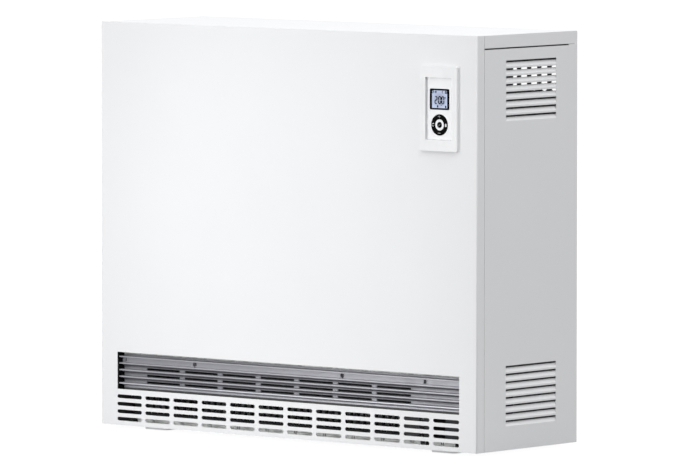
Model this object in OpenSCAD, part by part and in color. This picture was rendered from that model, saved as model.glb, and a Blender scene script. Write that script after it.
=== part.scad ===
// Storage heater: a folded sheet casing round an insulated brick core, with a
// fan below the core, a finned outlet grille and a controller on the front.
// Inside the modules, x runs from the casing's left edge, y back from its front
// face and z up from its underside. in_body() moves them to the part's origin,
// which is on the floor, in the middle of the part's outline.

/* [Casing] */
// Width of the casing
body_w = 780; // [760:5:840]
// Height of the casing above its feet
body_h = 650; // [645:5:720]
// Depth of the casing, from its front face to its rear edge
body_d = 250; // [245:1:290]
// Thickness of the casing sheet
sheet_t = 1; // [0.8:0.1:1.4]
// Outer radius of the front panel's upright folds
fold_r = 2; // [1.6:0.1:4]
// Depth of the front panel's side and top returns
return_d = 18; // [15:1:24]
// Height of the top cover's skirts
skirt_h = 20; // [16:1:28]
// Gap in the seams between the casing's panels
seam_gap = 0.8; // [0.4:0.1:1.4]
// Gap between a side panel and the top cover's skirt
cover_gap = 2.2; // [1:0.1:2.4]
// Width of the flanges inside the casing
flange_w = 14; // [10:1:18]
// How far the rear flanges stand inside the rear edge
rear_inset = 3.3; // [2.6:0.1:5]

/* [Feet] */
// Height of the feet
foot_h = 6; // [5:1:12]
// Width of one foot
foot_w = 50; // [40:1:70]
// Distance of the feet in front of the casing's rear edge
foot_rear = 24; // [16:1:40]
// Distance of the feet behind the front face
foot_back = 26; // [22:1:34]
// Distance of the feet from the casing's sides
foot_in = 66; // [50:1:90]
// Thickness of the feet's pressed sheet
foot_t = 1.5; // [1:0.1:2]
// Radius of the feet's upright corners
foot_r = 9; // [4:1:12]
// Diameter of the floor fixing holes
floor_hole = 9; // [7:0.5:12]
// Spacing of the two floor fixing holes in one foot
floor_hole_gap = 150; // [120:5:155]

/* [Outlet grille] */
// Distance of the outlet window from the casing's left side
window_in = 33.6; // [30:0.1:44]
// Distance of the outlet window from the casing's right side
window_right = 35.4; // [32:0.1:46]
// Height of the outlet window
window_h = 59.8; // [56:0.1:64]
// Height of the window's lower edge above the casing's underside
window_z = 58.5; // [57:0.1:60]
// Number of fins
fin_count = 5; // [3:1:5]
// Pitch of the fins
fin_pitch = 10.7; // [9.5:0.1:11]
// How far the fin tips stand behind the front face
fin_back = 3.5; // [2:0.1:6]
// Depth of a fin, from its tip to the base plate
fin_reach = 13; // [10:0.1:13]
// Thickness of a fin at its tip
fin_tip = 2; // [1.2:0.1:2.6]
// Thickness of a fin at its root
fin_root = 6; // [4:0.1:7]
// Thickness of the grille's base plate
grille_t = 2; // [1.5:0.1:2.5]
// Gap between the window's upper edge and the top fin
grille_drop = 4.1; // [3:0.1:6]
// Number of air slots in a row
air_slots = 7; // [5:1:7]
// Height of an air slot
air_slot_h = 3; // [2:0.1:3.4]
// Length of sheet between two air slots
air_bridge = 10.2; // [6:0.1:20]
// First air slot's distance from the casing's left side
air_slot_x = 82.8; // [80:0.1:90]
// Diameter of the screw recesses in the grille
recess_d = 8; // [7:0.1:9]

/* [Air intake] */
// Number of intake slots in a row
slot_cols = 12; // [8:1:12]
// Number of rows of intake slots
slot_rows = 4; // [2:1:4]
// Length of sheet between two intake slots
slot_bridge = 7.5; // [5:0.5:16]
// Height of an intake slot
slot_h = 6; // [4:0.5:7]
// Distance of the intake slots from the casing's left side
slot_in = 33.4; // [30:0.1:40]
// Distance of the intake slots from the casing's right side
slot_right = 35.4; // [32:0.1:42]
// Pitch of the rows
row_pitch = 12.15; // [11:0.05:12.5]
// Height of the lowest row's middle above the casing's underside
row_z = 10.3; // [8:0.1:11]
// Distance of the lint filter behind the front face
filter_back = 34; // [26:1:38]
// Depth of the lint filter
filter_d = 8; // [6:0.5:10]
// Pitch of the lint filter's ribs
filter_pitch = 13; // [10:0.5:20]

/* [Side louvres] */
// Number of louvres in one set
louvre_count = 8; // [4:1:9]
// Length of a louvre
louvre_l = 127.5; // [90:0.5:140]
// Height of a louvre's opening
louvre_h = 9.2; // [8:0.1:10]
// Pitch of the louvres
louvre_pitch = 12.2; // [11.6:0.1:14]
// How far a blade's upper edge leans into the casing
louvre_lean = 4; // [2.5:0.1:6]
// Open slot above a blade
louvre_slot = 3; // [1.5:0.1:4]
// Distance of the louvres behind the front face
louvre_back = 70.8; // [60:0.1:76]
// Distance of the upper set below the top of the casing
louvre_drop = 40.5; // [36:0.5:60]
// Height of the lower set above the casing's underside
louvre_rise = 37.5; // [30:0.5:50]

/* [Core] */
// Distance of the core from the casing's left side
core_in = 45; // [42:1:60]
// Bricks side by side
brick_cols = 3; // [2:1:3]
// Layers of bricks
brick_rows = 8; // [4:2:8]
// Width of an air channel through a brick
channel_w = 12; // [8:1:18]
// Length of an air channel through a brick
channel_l = 120; // [80:1:140]
// Diameter of the heating elements
element_d = 8; // [6.5:0.1:10]
// Spacing of an element's two legs
element_gap = 60; // [44:1:76]
// Thickness of the front insulation board
front_board_t = 30; // [25:1:32]
// Thickness of the side insulation boards
side_board_t = 28; // [20:1:30]
// Thickness of the top insulation board
top_board_t = 40; // [25:1:42]
// Thickness of the base insulation board
base_board_t = 30; // [20:1:30]
// Thickness of the rear insulation board
rear_board_t = 43.7; // [35:0.1:50]
// Clearance between the outlet window's flange and the core frame
frame_gap = 3.7; // [2.7:0.1:4.7]
// Distance of the insulation below the top of the casing
top_air = 15; // [12:1:25]
// Air space between the front panel and the inner front plate
front_air = 10; // [8:1:12]

/* [Fan and air duct] */
// Outer radius of the fan rotor
rotor_r = 30; // [24:1:31]
// Distance of the rotor's bladed part from the ends of the core frame
rotor_in = 43; // [38:1:60]
// Number of rotor blades
blade_count = 24; // [16:1:32]
// Depth of a rotor blade
blade_w = 8; // [5:0.5:9]
// Thickness of a rotor blade
blade_t = 0.9; // [0.7:0.1:1.2]
// Diameter of the rotor's shaft
shaft_d = 7; // [5:0.5:8]
// Distance of the rotor's axis behind the front face
rotor_back = 150; // [148:1:156]
// Height of the rotor's axis above the casing's underside
rotor_z = 50; // [46:1:54]
// Gap between the rotor and its housing
rotor_gap = 4; // [3:0.5:5]
// Distance of the air flap behind the front face
flap_back = 84; // [80:1:92]
// Thickness of the air flap
flap_t = 1.5; // [1:0.1:2]
// Diameter of the air flap's pins
flap_pin_d = 5; // [4:0.5:6]
// How far the air flap's free edge stays above the duct's floor
flap_rise = 3; // [2:0.5:6]

/* [Controller] */
// Width of the controller's frame
frame_w = 74.5; // [72:0.5:84]
// Height of the controller's frame
frame_h = 132.2; // [130:0.2:140]
// How far the frame stands in front of the casing
frame_proud = 4.5; // [3:0.1:6]
// Width of the frame's window
fascia_w = 52.8; // [50:0.2:56]
// Height of the frame's window
fascia_h = 97.2; // [94:0.2:104]
// How far the fascia lies below the frame's face
fascia_sink = 3.3; // [2:0.1:3.9]
// Thickness of the fascia
fascia_t = 4; // [3.6:0.1:5]
// Distance of the frame's middle from the casing's right side
control_in = 74.2; // [66:0.2:76]
// Distance of the frame's middle below the casing's top
control_drop = 115.1; // [105:0.5:130]
// Radius of the frame's corners
frame_r = 2; // [1:0.1:4]
// Width of the display bezel
bezel_w = 39.2; // [37:0.2:44]
// Height of the display bezel
bezel_h = 32.5; // [31:0.2:36]
// Width of the display
lcd_w = 31; // [28:0.2:34]
// Height of the display
lcd_h = 27.8; // [24:0.2:29]
// Height of the display's middle above the frame's middle
bezel_up = 14.8; // [13:0.1:20]
// Distance of the key ring's middle below the frame's middle
ring_down = 25.2; // [22:0.1:28]
// Outer diameter of the key ring
ring_d = 32.8; // [30:0.1:36]
// Inner diameter of the key ring
ring_hole = 18; // [15:0.1:20]
// Diameter of the key in the middle
ok_d = 8.8; // [7:0.1:10]
// Clearance round each key
key_gap = 0.3; // [0.2:0.05:0.5]
// How far the keys stand in front of the fascia
key_proud = 0.6; // [0.3:0.1:1]
// Travel of a key
key_travel = 0.6; // [0.4:0.1:0.8]
// Depth of the controller's box behind the front face
control_box_d = 24; // [22:1:34]

/* [Electrics] */
// Width of the electrics compartment, from the partition to the right side
electrics_w = 139; // [132:1:146]
// Thickness of the inner steel plates
plate_t = 1; // [0.7:0.1:1.5]
// Length of the circuit board, front to back
board_l = 110; // [100:1:130]
// Height of the circuit board
board_h = 150; // [140:1:170]
// Thickness of the circuit boards
board_t = 1.6; // [1:0.1:2.4]
// Standoff of the circuit board from its plate
board_off = 10; // [6:0.5:14]
// Outer diameter of the safety cut-out
cutout_d = 30; // [24:1:36]
// Diameter of the cut-out's reset button
reset_d = 6; // [5:0.5:8]
// Travel of the reset button
reset_travel = 2; // [1:0.1:2.4]
// Diameter of the cable entry
entry_d = 20; // [16:0.5:24]
// Diameter of the wall fixing holes
wall_hole = 7; // [5:0.5:9]
// Distance of the wall fixing holes from the casing's sides
wall_hole_in = 26; // [24:1:30]
// Distance of the wall fixing holes below the casing's top
wall_hole_drop = 60; // [50:1:80]
// Number of rear vent slots in one set
vent_count = 5; // [3:1:5]
// Width of a rear vent slot
vent_w = 12; // [8:0.5:14]
// Height of a rear vent slot
vent_h = 43; // [30:1:60]
// Pitch of the rear vent slots
vent_pitch = 20.5; // [18:0.5:22]
// Distance of the upper rear vents below the casing's top
vent_drop = 54; // [50:1:80]

/* [Hidden] */
$fn = 48;

eps = 0.01;
fit_gap = 0.3;
brick_joint = 0.2;
white = [0.93, 0.93, 0.92];
galvanised = [0.66, 0.67, 0.67];
black = [0.1, 0.1, 0.11];
aluminium = [0.62, 0.62, 0.65];
dark_grey = [0.25, 0.25, 0.26];
board_cream = [0.83, 0.8, 0.72];
brick_brown = [0.32, 0.24, 0.22];
board_green = [0.1, 0.36, 0.2];
key_white = [0.96, 0.96, 0.97];

front_y = -(body_d + frame_proud) / 2 + frame_proud;
rear_face = body_d - rear_inset - sheet_t;
rear_front = rear_face - sheet_t;

module in_body() {
    translate([-body_w / 2, front_y, foot_h]) children();
}

// A box given by its lowest and highest corners.
module span(low, high) {
    translate(low) cube([high[0] - low[0], high[1] - low[1], high[2] - low[2]]);
}

// A rectangle with round corners, centred.
module round_rect(w, h, r) {
    square([w - 2 * r, h], center = true);
    square([w, h - 2 * r], center = true);
    for (x = [-1, 1], z = [-1, 1])
        translate([x * (w / 2 - r), z * (h / 2 - r)]) circle(r = r);
}

// A flat plate standing in the x-z plane, from depth y to y + t.
module upright(y, t) {
    translate([0, y + t, 0]) rotate([90, 0, 0]) linear_extrude(t) children();
}

// A profile drawn in depth and height, extruded along x from x0 over length l.
module along_x(x0, l) {
    translate([x0, 0, 0]) rotate([90, 0, 90]) linear_extrude(l) children();
}

// A round bar or hole along one axis, starting at a point.
module bar_x(p, r, l) { translate(p) rotate([0, 90, 0]) cylinder(r = r, h = l); }
module bar_y(p, r, l) { translate(p) rotate([-90, 0, 0]) cylinder(r = r, h = l); }
module bar_z(p, r, l) { translate(p) cylinder(r = r, h = l); }

// ---- Casing ----

side_top = body_h - skirt_h - cover_gap;
closed_seam = 0.3;
closed_seam_l = 21;
tongue_l = 8;
window_x = window_in;
window_w = body_w - window_in - window_right;
slot_pitch = (body_w - slot_in - slot_right + slot_bridge) / slot_cols;
slot_l = slot_pitch - slot_bridge;
control_x = body_w - control_in;
control_z = body_h - control_drop;
control_box_w = frame_w - 8.5;
control_box_h = frame_h - 10;
screw_r = 1.9;
screw_hole_r = 2.1;
head_r = 3.5;
head_h = 1.6;
side_screw_x = (sheet_t + flange_w) / 2 + 1;
side_screw_z = [40, side_top / 2, side_top - 30];
cover_screw_x = [60, body_w / 2, body_w - 60];
cover_screw_z = body_h - skirt_h / 2;

module slot_2d(l, h) {
    square([l - h, h], center = true);
    for (side = [-1, 1]) translate([side * (l - h) / 2, 0]) circle(r = h / 2);
}

module intake_slots_2d() {
    for (col = [0 : slot_cols - 1], row = [0 : slot_rows - 1])
        translate([slot_in + slot_l / 2 + col * slot_pitch, row_z + row * row_pitch])
            slot_2d(slot_l, slot_h);
}

module folded_outline(inset, depth) {
    r = fold_r - inset;
    translate([inset + r, inset]) square([body_w - 2 * (inset + r), depth - inset]);
    translate([inset, inset + r]) square([body_w - 2 * inset, depth - inset - r]);
    for (x = [inset + r, body_w - inset - r]) translate([x, inset + r]) circle(r = r);
}

// The front sheet with its side, top and bottom returns in one piece.
module front_panel() {
    color(white) in_body() difference() {
        union() {
            linear_extrude(body_h) difference() {
                folded_outline(0, return_d);
                folded_outline(sheet_t, return_d + 1);
            }
            for (z = [0, body_h - sheet_t])
                span([sheet_t, sheet_t, z], [body_w - sheet_t, return_d, z + sheet_t]);
        }
        span([window_x, -1, window_z], [window_x + window_w, sheet_t + 1, window_z + window_h]);
        upright(-1, sheet_t + 2) intake_slots_2d();
        span([control_x - control_box_w / 2 - fit_gap, -1, control_z - control_box_h / 2 - fit_gap],
             [control_x + control_box_w / 2 + fit_gap, sheet_t + 1,
              control_z + control_box_h / 2 + fit_gap]);
    }
}

// The lid: its skirts close the top of the sides and of the rear panel.
module top_cover() {
    front = return_d + seam_gap;
    color(white) in_body() difference() {
        union() {
            span([0, front, body_h - sheet_t], [body_w, body_d, body_h]);
            span([2 * sheet_t, return_d - tongue_l, body_h - 2 * sheet_t],
                 [body_w - 2 * sheet_t, front + tongue_l, body_h - sheet_t]);
            for (x = [0, body_w - sheet_t])
                span([x, front, body_h - skirt_h], [x + sheet_t, body_d, body_h]);
            span([0, rear_face, body_h - skirt_h], [body_w, rear_face + sheet_t, body_h]);
        }
        for (x = cover_screw_x) bar_y([x, rear_face - 1, cover_screw_z], screw_hole_r, 3);
    }
}

// One louvre: the blade leans in from the lower edge, closed at both ends.
module louvre_blade() {
    reach = louvre_h - louvre_slot;
    translate([0, louvre_l, 0]) rotate([90, 0, 0]) linear_extrude(louvre_l)
        polygon([[0, 0], [sheet_t, 0], [louvre_lean + sheet_t, reach], [louvre_lean, reach]]);
    for (y = [0, louvre_l - sheet_t])
        translate([0, y + sheet_t, 0]) rotate([90, 0, 0]) linear_extrude(sheet_t)
            polygon([[0, 0], [sheet_t, 0], [louvre_lean + sheet_t, reach], [0, reach]]);
}

module at_louvres() {
    for (i = [0 : louvre_count - 1]) {
        translate([0, louvre_back, louvre_rise + i * louvre_pitch]) children();
        translate([0, louvre_back, body_h - louvre_drop - louvre_h - i * louvre_pitch])
            children();
    }
}

// A side sheet, drawn as the left one.
module side_sheet() {
    front = return_d + seam_gap;
    flange_y = rear_face;
    difference() {
        union() {
            span([0, front, 0], [sheet_t, body_d, side_top]);
            span([0, body_d - closed_seam_l, 0],
                 [sheet_t, body_d, body_h - skirt_h - closed_seam]);
            span([sheet_t, return_d - tongue_l, 4],
                 [2 * sheet_t, front + tongue_l, side_top - 2]);
            span([sheet_t / 2, front + tongue_l, side_top - sheet_t],
                 [flange_w, rear_front - 1, side_top]);
            span([sheet_t / 2, flange_y, 0], [flange_w, flange_y + sheet_t, side_top]);
            span([sheet_t / 2, front + tongue_l, sheet_t],
                 [flange_w, rear_front - 2 * sheet_t, 2 * sheet_t]);
        }
        at_louvres() translate([-1, sheet_t, 0])
            cube([sheet_t + 2, louvre_l - 2 * sheet_t, louvre_h]);
        for (z = side_screw_z) bar_y([side_screw_x, flange_y - 1, z], screw_hole_r, 3);
    }
    at_louvres() louvre_blade();
}

module left_side_panel() { color(white) in_body() side_sheet(); }

module right_side_panel() {
    color(white) in_body() translate([body_w, 0, 0]) mirror([1, 0, 0]) side_sheet();
}

vent_x = body_w - 83;
low_vent_z = 180;
entry_x = body_w - 34;
entry_z = 150;

module vents(z) {
    for (i = [0 : vent_count - 1])
        translate([vent_x + (i - (vent_count - 1) / 2) * vent_pitch, z])
            rotate(90) slot_2d(vent_h, vent_w);
}

// The galvanised rear sheet, with vents behind the electrics.
module rear_panel() {
    color(galvanised) in_body() difference() {
        span([2 * sheet_t, rear_front, 0], [body_w - 2 * sheet_t, rear_face, body_h - sheet_t]);
        upright(rear_front - 1, sheet_t + 2) {
            vents(body_h - vent_drop - vent_h / 2);
            vents(low_vent_z + vent_h / 2);
        }
        bar_y([entry_x, rear_front - 1, entry_z], entry_d / 2, sheet_t + 2);
        for (x = [wall_hole_in, body_w - wall_hole_in])
            bar_y([x, rear_front - 1, body_h - wall_hole_drop], wall_hole / 2, sheet_t + 2);
        for (x = [side_screw_x, body_w - side_screw_x], z = side_screw_z)
            bar_y([x, rear_front - 1, z], screw_hole_r, sheet_t + 2);
        for (x = cover_screw_x)
            bar_y([x, rear_front - 1, cover_screw_z], screw_hole_r, sheet_t + 2);
    }
}

foot_l = body_d - foot_back - foot_rear;
foot_hole_y = foot_back + foot_l / 2;
access_r = floor_hole;
tray_lip = 15;

module at_floor_holes(x) {
    for (side = [-1, 1])
        translate([x + foot_w / 2, foot_hole_y + side * floor_hole_gap / 2, 0]) children();
}

module base_tray() {
    color(galvanised) in_body() difference() {
        union() {
            span([sheet_t, return_d + seam_gap, 0], [body_w - sheet_t, rear_front, sheet_t]);
            span([flange_w + 2, rear_front - sheet_t, 0],
                 [body_w - flange_w - 2, rear_front, tray_lip]);
        }
        for (x = [foot_in, body_w - foot_in - foot_w]) at_floor_holes(x)
            translate([0, 0, -1]) cylinder(r = access_r, h = sheet_t + 2);
    }
}

// A shallow pressed pan, open upwards, under the base tray.
module foot(x) {
    in_body() translate([x + foot_w / 2, foot_back + foot_l / 2, -foot_h]) difference() {
        linear_extrude(foot_h) round_rect(foot_w, foot_l, foot_r);
        translate([0, 0, foot_t]) linear_extrude(foot_h)
            round_rect(foot_w - 2 * foot_t, foot_l - 2 * foot_t, foot_r - foot_t);
        for (side = [-1, 1]) translate([0, side * floor_hole_gap / 2, -1])
            cylinder(d = floor_hole, h = foot_t + 2);
    }
}

module left_foot() { color(white) foot(foot_in); }
module right_foot() { color(white) foot(body_w - foot_in - foot_w); }

// A pan-head screw along y: its head ends at y, its shank runs on towards the front.
module rear_screw(x, y, z) {
    bar_y([x, y, z], head_r, head_h);
    bar_y([x, y - 7, z], screw_r, 7);
}

module casing_screws() {
    color(galvanised) in_body() {
        for (x = [side_screw_x, body_w - side_screw_x], z = side_screw_z)
            rear_screw(x, rear_face + sheet_t, z);
        for (x = cover_screw_x) rear_screw(x, rear_face + sheet_t, cover_screw_z);
    }
}

// ---- Outlet grille ----

grille_front = fin_back + fin_reach;
grille_back = grille_front + grille_t;
grille_top = window_z + window_h - grille_drop;
grille_low = window_z + 1.8;
grille_lip = 2.5;
grille_play = 0.9;
band_t = 4;
slot_lift = 0.1;
first_slotted_fin = 2;
grille_screw_x = [window_x + 154.6, window_x + window_w - 248.2];
grille_screw_z = grille_top - grille_lip - 6.6;
band_front = grille_front - band_t;
recess_depth = 3.8;
key_slot_x = window_x + 7.7;
square_hole_x = window_x + window_w - 78.7;
grille_head_r = 2.6;
core_x1 = body_w - electrics_w;
duct_x1 = core_x1 - plate_t - 6;
air_slot_pitch = (duct_x1 - air_slot_x + air_bridge) / air_slots;
air_slot_l = air_slot_pitch - air_bridge;

function fin_z(i) = grille_top - grille_lip - i * fin_pitch;

// A fin: flat above, with an arc under it from the tip to the root.
module fin_2d(z) {
    drop = fin_root - fin_tip;
    arc_r = (fin_reach * fin_reach + drop * drop) / (2 * drop);
    difference() {
        translate([fin_back, z - fin_root]) square([fin_reach + eps, fin_root]);
        translate([fin_back, z - fin_tip - arc_r]) circle(r = arc_r, $fn = 96);
    }
}

module outlet_grille() {
    color(aluminium) in_body() difference() {
        along_x(window_x + grille_play, window_w - 2 * grille_play) {
            translate([grille_front, grille_low]) square([grille_t, grille_top - grille_low]);
            translate([band_front, fin_z(1) - eps]) square([band_t + eps, fin_pitch - fin_tip + 2 * eps]);
            translate([fin_back, fin_z(0) - fin_tip]) square([fin_reach + eps, fin_tip]);
            for (i = [1 : fin_count - 1]) fin_2d(fin_z(i));
        }
        for (row = [first_slotted_fin : fin_count - 1], col = [0 : air_slots - 1])
            translate([air_slot_x + col * air_slot_pitch, grille_front - 1,
                       fin_z(row) + slot_lift])
                cube([air_slot_l, grille_t + 2, air_slot_h]);
        for (x = grille_screw_x) {
            bar_y([x, fin_back, grille_screw_z], recess_d / 2,
                  band_front + recess_depth - fin_back);
            bar_y([x, fin_back, grille_screw_z], screw_hole_r, fin_reach + grille_t + 1);
        }
        translate([key_slot_x - 1, fin_back, grille_screw_z - 3])
            cube([2, fin_reach + grille_t + 1, 6]);
        translate([square_hole_x - 3, fin_back, grille_screw_z - 3])
            cube([6, fin_reach + grille_t + 1, 6]);
    }
}

module grille_screws() {
    color(galvanised) in_body() for (x = grille_screw_x) {
        bar_y([x, band_front + recess_depth - head_h, grille_screw_z], grille_head_r, head_h);
        bar_y([x, band_front + recess_depth - eps, grille_screw_z], screw_r, 10);
    }
}

end_piece_t = 1.6;

// The black plates that close the window's ends.
module grille_end_pieces() {
    color(black) in_body() for (x = [window_x - end_piece_t, window_x + window_w])
        span([x, sheet_t, window_z - 2], [x + end_piece_t, grille_back, window_z + window_h + 2]);
}

// ---- Air intake ----

partition_x = core_x1;
core_x0 = core_in;
brick_x1 = core_x1 - side_board_t;
brick_x0 = core_x0 + side_board_t;
brick_l = (brick_x1 - brick_x0) / brick_cols;
duct_z = window_z - 2.5;
strip_h = 12;
strip_y = filter_back + filter_d - 2;
filter_top = duct_z - fit_gap;
rail_h = 6.5;
rib_t = 1.5;
gusset_h = 8;
gusset_w = 8;
web_t = 2;
end_blank_l = 14;
side_blank_l = 36;
strip_slit_w = 1.8;
strip_slit_gap = 4.2;
strip_slit_h = 5.5;
strip_hole_x0 = core_x0 + 28.75;
strip_hole_count = slot_cols - 2;
strip_hole_pitch = (core_x1 - 27.25 - strip_hole_x0) / (strip_hole_count - 1);
filter_x0 = core_x0 - 7;
filter_x1 = core_x1 - 7;
blank_x0 = partition_x + plate_t + 1;
blank_x1 = window_x + window_w - 1;

// A web that fills the filter's height between two places along it.
module filter_web(x0, x1) {
    span([x0, filter_back + 4, strip_h], [x1, filter_back + 4 + web_t, filter_top]);
}

// Upright ribs with flared feet between two rails, and a blank web at each end.
module lint_filter() {
    ribs_x0 = filter_x0 + end_blank_l;
    ribs_x1 = filter_x1 - side_blank_l;
    count = floor((ribs_x1 - ribs_x0) / filter_pitch);
    color(dark_grey) in_body() {
        span([filter_x0, filter_back, strip_h], [filter_x1, filter_back + filter_d,
                                                 strip_h + rail_h]);
        span([filter_x0, filter_back, filter_top - 4], [filter_x1, filter_back + filter_d,
                                                        filter_top]);
        filter_web(filter_x0, ribs_x0);
        filter_web(ribs_x1, filter_x1);
        for (i = [1 : count - 1]) {
            x = ribs_x0 + i * filter_pitch;
            span([x, filter_back + 1, strip_h + 1], [x + rib_t, filter_back + filter_d - 1,
                                                     filter_top - 1]);
            upright(filter_back + 4, web_t) polygon([
                [x - gusset_w / 2, strip_h + rail_h - eps],
                [x + rib_t + gusset_w / 2, strip_h + rail_h - eps],
                [x + rib_t / 2, strip_h + rail_h + gusset_h]]);
        }
    }
}

// The blank that closes the intake in front of the electrics, with a gap for the bracket.
module blank_plate() {
    color(dark_grey) in_body() {
        span([blank_x0, filter_back, strip_h], [blank_x1, filter_back + filter_d, strip_h + 3.5]);
        span([blank_x0, filter_back, filter_top - 3], [blank_x1, filter_back + filter_d,
                                                       filter_top]);
        filter_web(blank_x0, blank_x0 + 13);
        filter_web(blank_x0 + 43, blank_x1);
    }
}

tray_x0 = core_x0 + plate_t + fit_gap;
tray_x1 = core_x1 - plate_t - fit_gap;
fan_middle = (core_x0 + core_x1) / 2;
fan_x0 = core_x0 + rotor_in;
fan_x1 = core_x1 - rotor_in;
rotor_l = fan_x1 - fan_x0;
shell_r = rotor_r + rotor_gap;
shell_back = rotor_back + shell_r + 3;
mouth_front = rotor_back - 6;
end_gap = 6;
housing_t = 1;
tray_z = sheet_t;

// A pair of narrow slits through an upright strip.
module strip_slits(x) {
    for (side = [0, 1])
        translate([x + side * strip_slit_gap, strip_y - 1, tray_z + 2.5])
            cube([strip_slit_w, sheet_t + 2, strip_slit_h]);
}

// The sheet that carries the fan, with its front edge turned up under the filter.
module fan_tray() {
    color(galvanised) in_body() difference() {
        union() {
            span([tray_x0, strip_y, tray_z], [tray_x1, shell_back + 10, tray_z + sheet_t]);
            span([core_x0 - 3, strip_y, tray_z], [core_x1 - 7, strip_y + sheet_t, strip_h]);
        }
        for (i = [0 : strip_hole_count - 1]) strip_slits(strip_hole_x0 + i * strip_hole_pitch);
        for (x = [foot_in, body_w - foot_in - foot_w]) at_floor_holes(x)
            translate([0, 0, tray_z - 1]) cylinder(r = access_r, h = sheet_t + 2);
    }
}

// ---- Outlet duct and air flap ----

core_frame_h = window_z + window_h + 2 + frame_gap;
core_z = core_frame_h + plate_t + base_board_t;
core_y = front_air + plate_t + front_board_t;
core_y1 = rear_front - rear_board_t;
core_top = body_h - top_air - top_board_t;
brick_d = core_y1 - core_y;
brick_h = (core_top - core_z) / brick_rows;
channel_y = core_y + (brick_d - channel_l) / 2;
duct_x0 = core_x0 + plate_t + 4;
duct_back = flap_back + 26;
duct_flange_y = grille_back;
duct_open_x0 = air_slot_x - 4;
duct_open_x1 = air_slot_x + (air_slots - 1) * air_slot_pitch + air_slot_l + 2;
flap_z = core_frame_h - 8;
bypass_h = 24;

// The sheet duct that leads the hot air forward to the grille.
module outlet_duct() {
    color(galvanised) in_body() difference() {
        union() {
            span([duct_x0, duct_flange_y, duct_z], [duct_x1, duct_back, duct_z + plate_t]);
            span([window_x - end_piece_t, duct_flange_y, duct_z],
                 [window_x + window_w + end_piece_t, duct_flange_y + plate_t,
                  window_z + window_h + 2]);
            for (x = [duct_x0, duct_x1 - plate_t])
                span([x, duct_flange_y, duct_z], [x + plate_t, duct_back, core_frame_h]);
            span([duct_x0, duct_back - plate_t, duct_z], [duct_x1, duct_back, core_frame_h]);
            span([duct_x0, duct_flange_y, window_z + window_h + 1],
                 [duct_x1, duct_flange_y + 12, window_z + window_h + 2]);
        }
        span([duct_open_x0, duct_flange_y - 1, fin_z(fin_count - 1) - 3],
             [duct_open_x1, duct_flange_y + plate_t + 1, fin_z(1) - 3]);
        span([fan_x0 + 20, duct_back - plate_t - 1, duct_z + 8],
             [fan_x1 - 20, duct_back + 1, duct_z + 8 + bypass_h]);
        for (x = grille_screw_x)
            bar_y([x, duct_flange_y - 1, grille_screw_z], screw_hole_r, plate_t + 2);
        for (x = [duct_x0 - 1, duct_x1 - plate_t - 1])
            bar_x([x, flap_back, flap_z], flap_pin_d / 2 + fit_gap, plate_t + 2);
    }
}

// The damper hangs shut from two pins and swings forward.
module air_flap() {
    x0 = duct_x0 + plate_t + 1.5;
    x1 = duct_x1 - plate_t - 1.5;
    low = duct_z + plate_t + flap_rise;
    color(galvanised) in_body() {
        span([x0, flap_back - flap_t / 2, low], [x1, flap_back + flap_t / 2, flap_z]);
        span([x0, flap_back - 6, low], [x1, flap_back, low + flap_t]);
        bar_x([x0, flap_back, flap_z], flap_pin_d / 2 + 1, x1 - x0);
        bar_x([duct_x0 - 3, flap_back, flap_z], flap_pin_d / 2, duct_x1 - duct_x0 + 6);
    }
}

// The two-metal strip that leans on the flap as the duct warms.
module bimetal_strip() {
    x = fan_middle + 120;
    z = duct_z + plate_t;
    y0 = flap_back + flap_t / 2 + fit_gap;
    color("goldenrod") in_body() {
        span([x, y0, z + 16], [x + 14, duct_back - plate_t, z + 17.2]);
        span([x, duct_back - plate_t - 1.2, z + 16], [x + 14, duct_back - plate_t, z + 56]);
        span([x, y0, z + 16], [x + 14, y0 + 1.2, z + 24]);
    }
}

// ---- Fan ----

bush_r = 10;
bush_l = 12;
motor_x = partition_x + plate_t + 6;
motor_plate_t = 1.5;
motor_core_r = 13;
stack_l = 18;
motor_l = 31;

function arc_points(r, from, to, n) =
    [for (i = [0 : n]) r * [cos(from + (to - from) * i / n), sin(from + (to - from) * i / n)]];

// The curved wall behind the rotor, the straight throat above it and the lip in front.
module housing_wall_2d() {
    centre = [rotor_back + 3, rotor_z];
    steps = 24;
    inner = arc_points(shell_r, 225, 360, steps);
    outer = arc_points(shell_r + housing_t, 360, 225, steps);
    throat = core_frame_h - rotor_z;
    translate(centre) polygon(concat(inner, [[shell_r, throat], [shell_r + housing_t, throat]],
                                     outer));
    lip_z = rotor_z + shell_r;
    translate([mouth_front, 0]) polygon([
        [-14, lip_z], [0, lip_z], [0, core_frame_h], [-housing_t, core_frame_h],
        [-housing_t, lip_z + housing_t], [-14, lip_z + housing_t]]);
}

module fan_housing() {
    end_x = [fan_x0 - end_gap - housing_t, fan_x1 + end_gap];
    color(galvanised) in_body() {
        along_x(fan_x0 - end_gap, fan_x1 - fan_x0 + 2 * end_gap) housing_wall_2d();
        difference() {
            for (x = end_x)
                span([x, rotor_back - shell_r - 4, tray_z + sheet_t],
                     [x + housing_t, shell_back + housing_t, core_frame_h]);
            bar_x([end_x[0] - 1, rotor_back, rotor_z], bush_r + 0.2, housing_t + 2);
            bar_x([end_x[1] - 1, rotor_back, rotor_z], shaft_d / 2 + 2, housing_t + 2);
        }
    }
}

// One curved blade, seen from the end: its chord leans forward from the radius.
module blade_2d() {
    bend = 70;
    r = blade_w / (2 * sin(bend / 2));
    points = concat(arc_points(r, -bend / 2, bend / 2, 6),
                    arc_points(r + blade_t, bend / 2, -bend / 2, 6));
    translate([rotor_r - blade_w / 2 - 1.2, 0]) rotate(-55) translate([-r, 0]) polygon(points);
}

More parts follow.
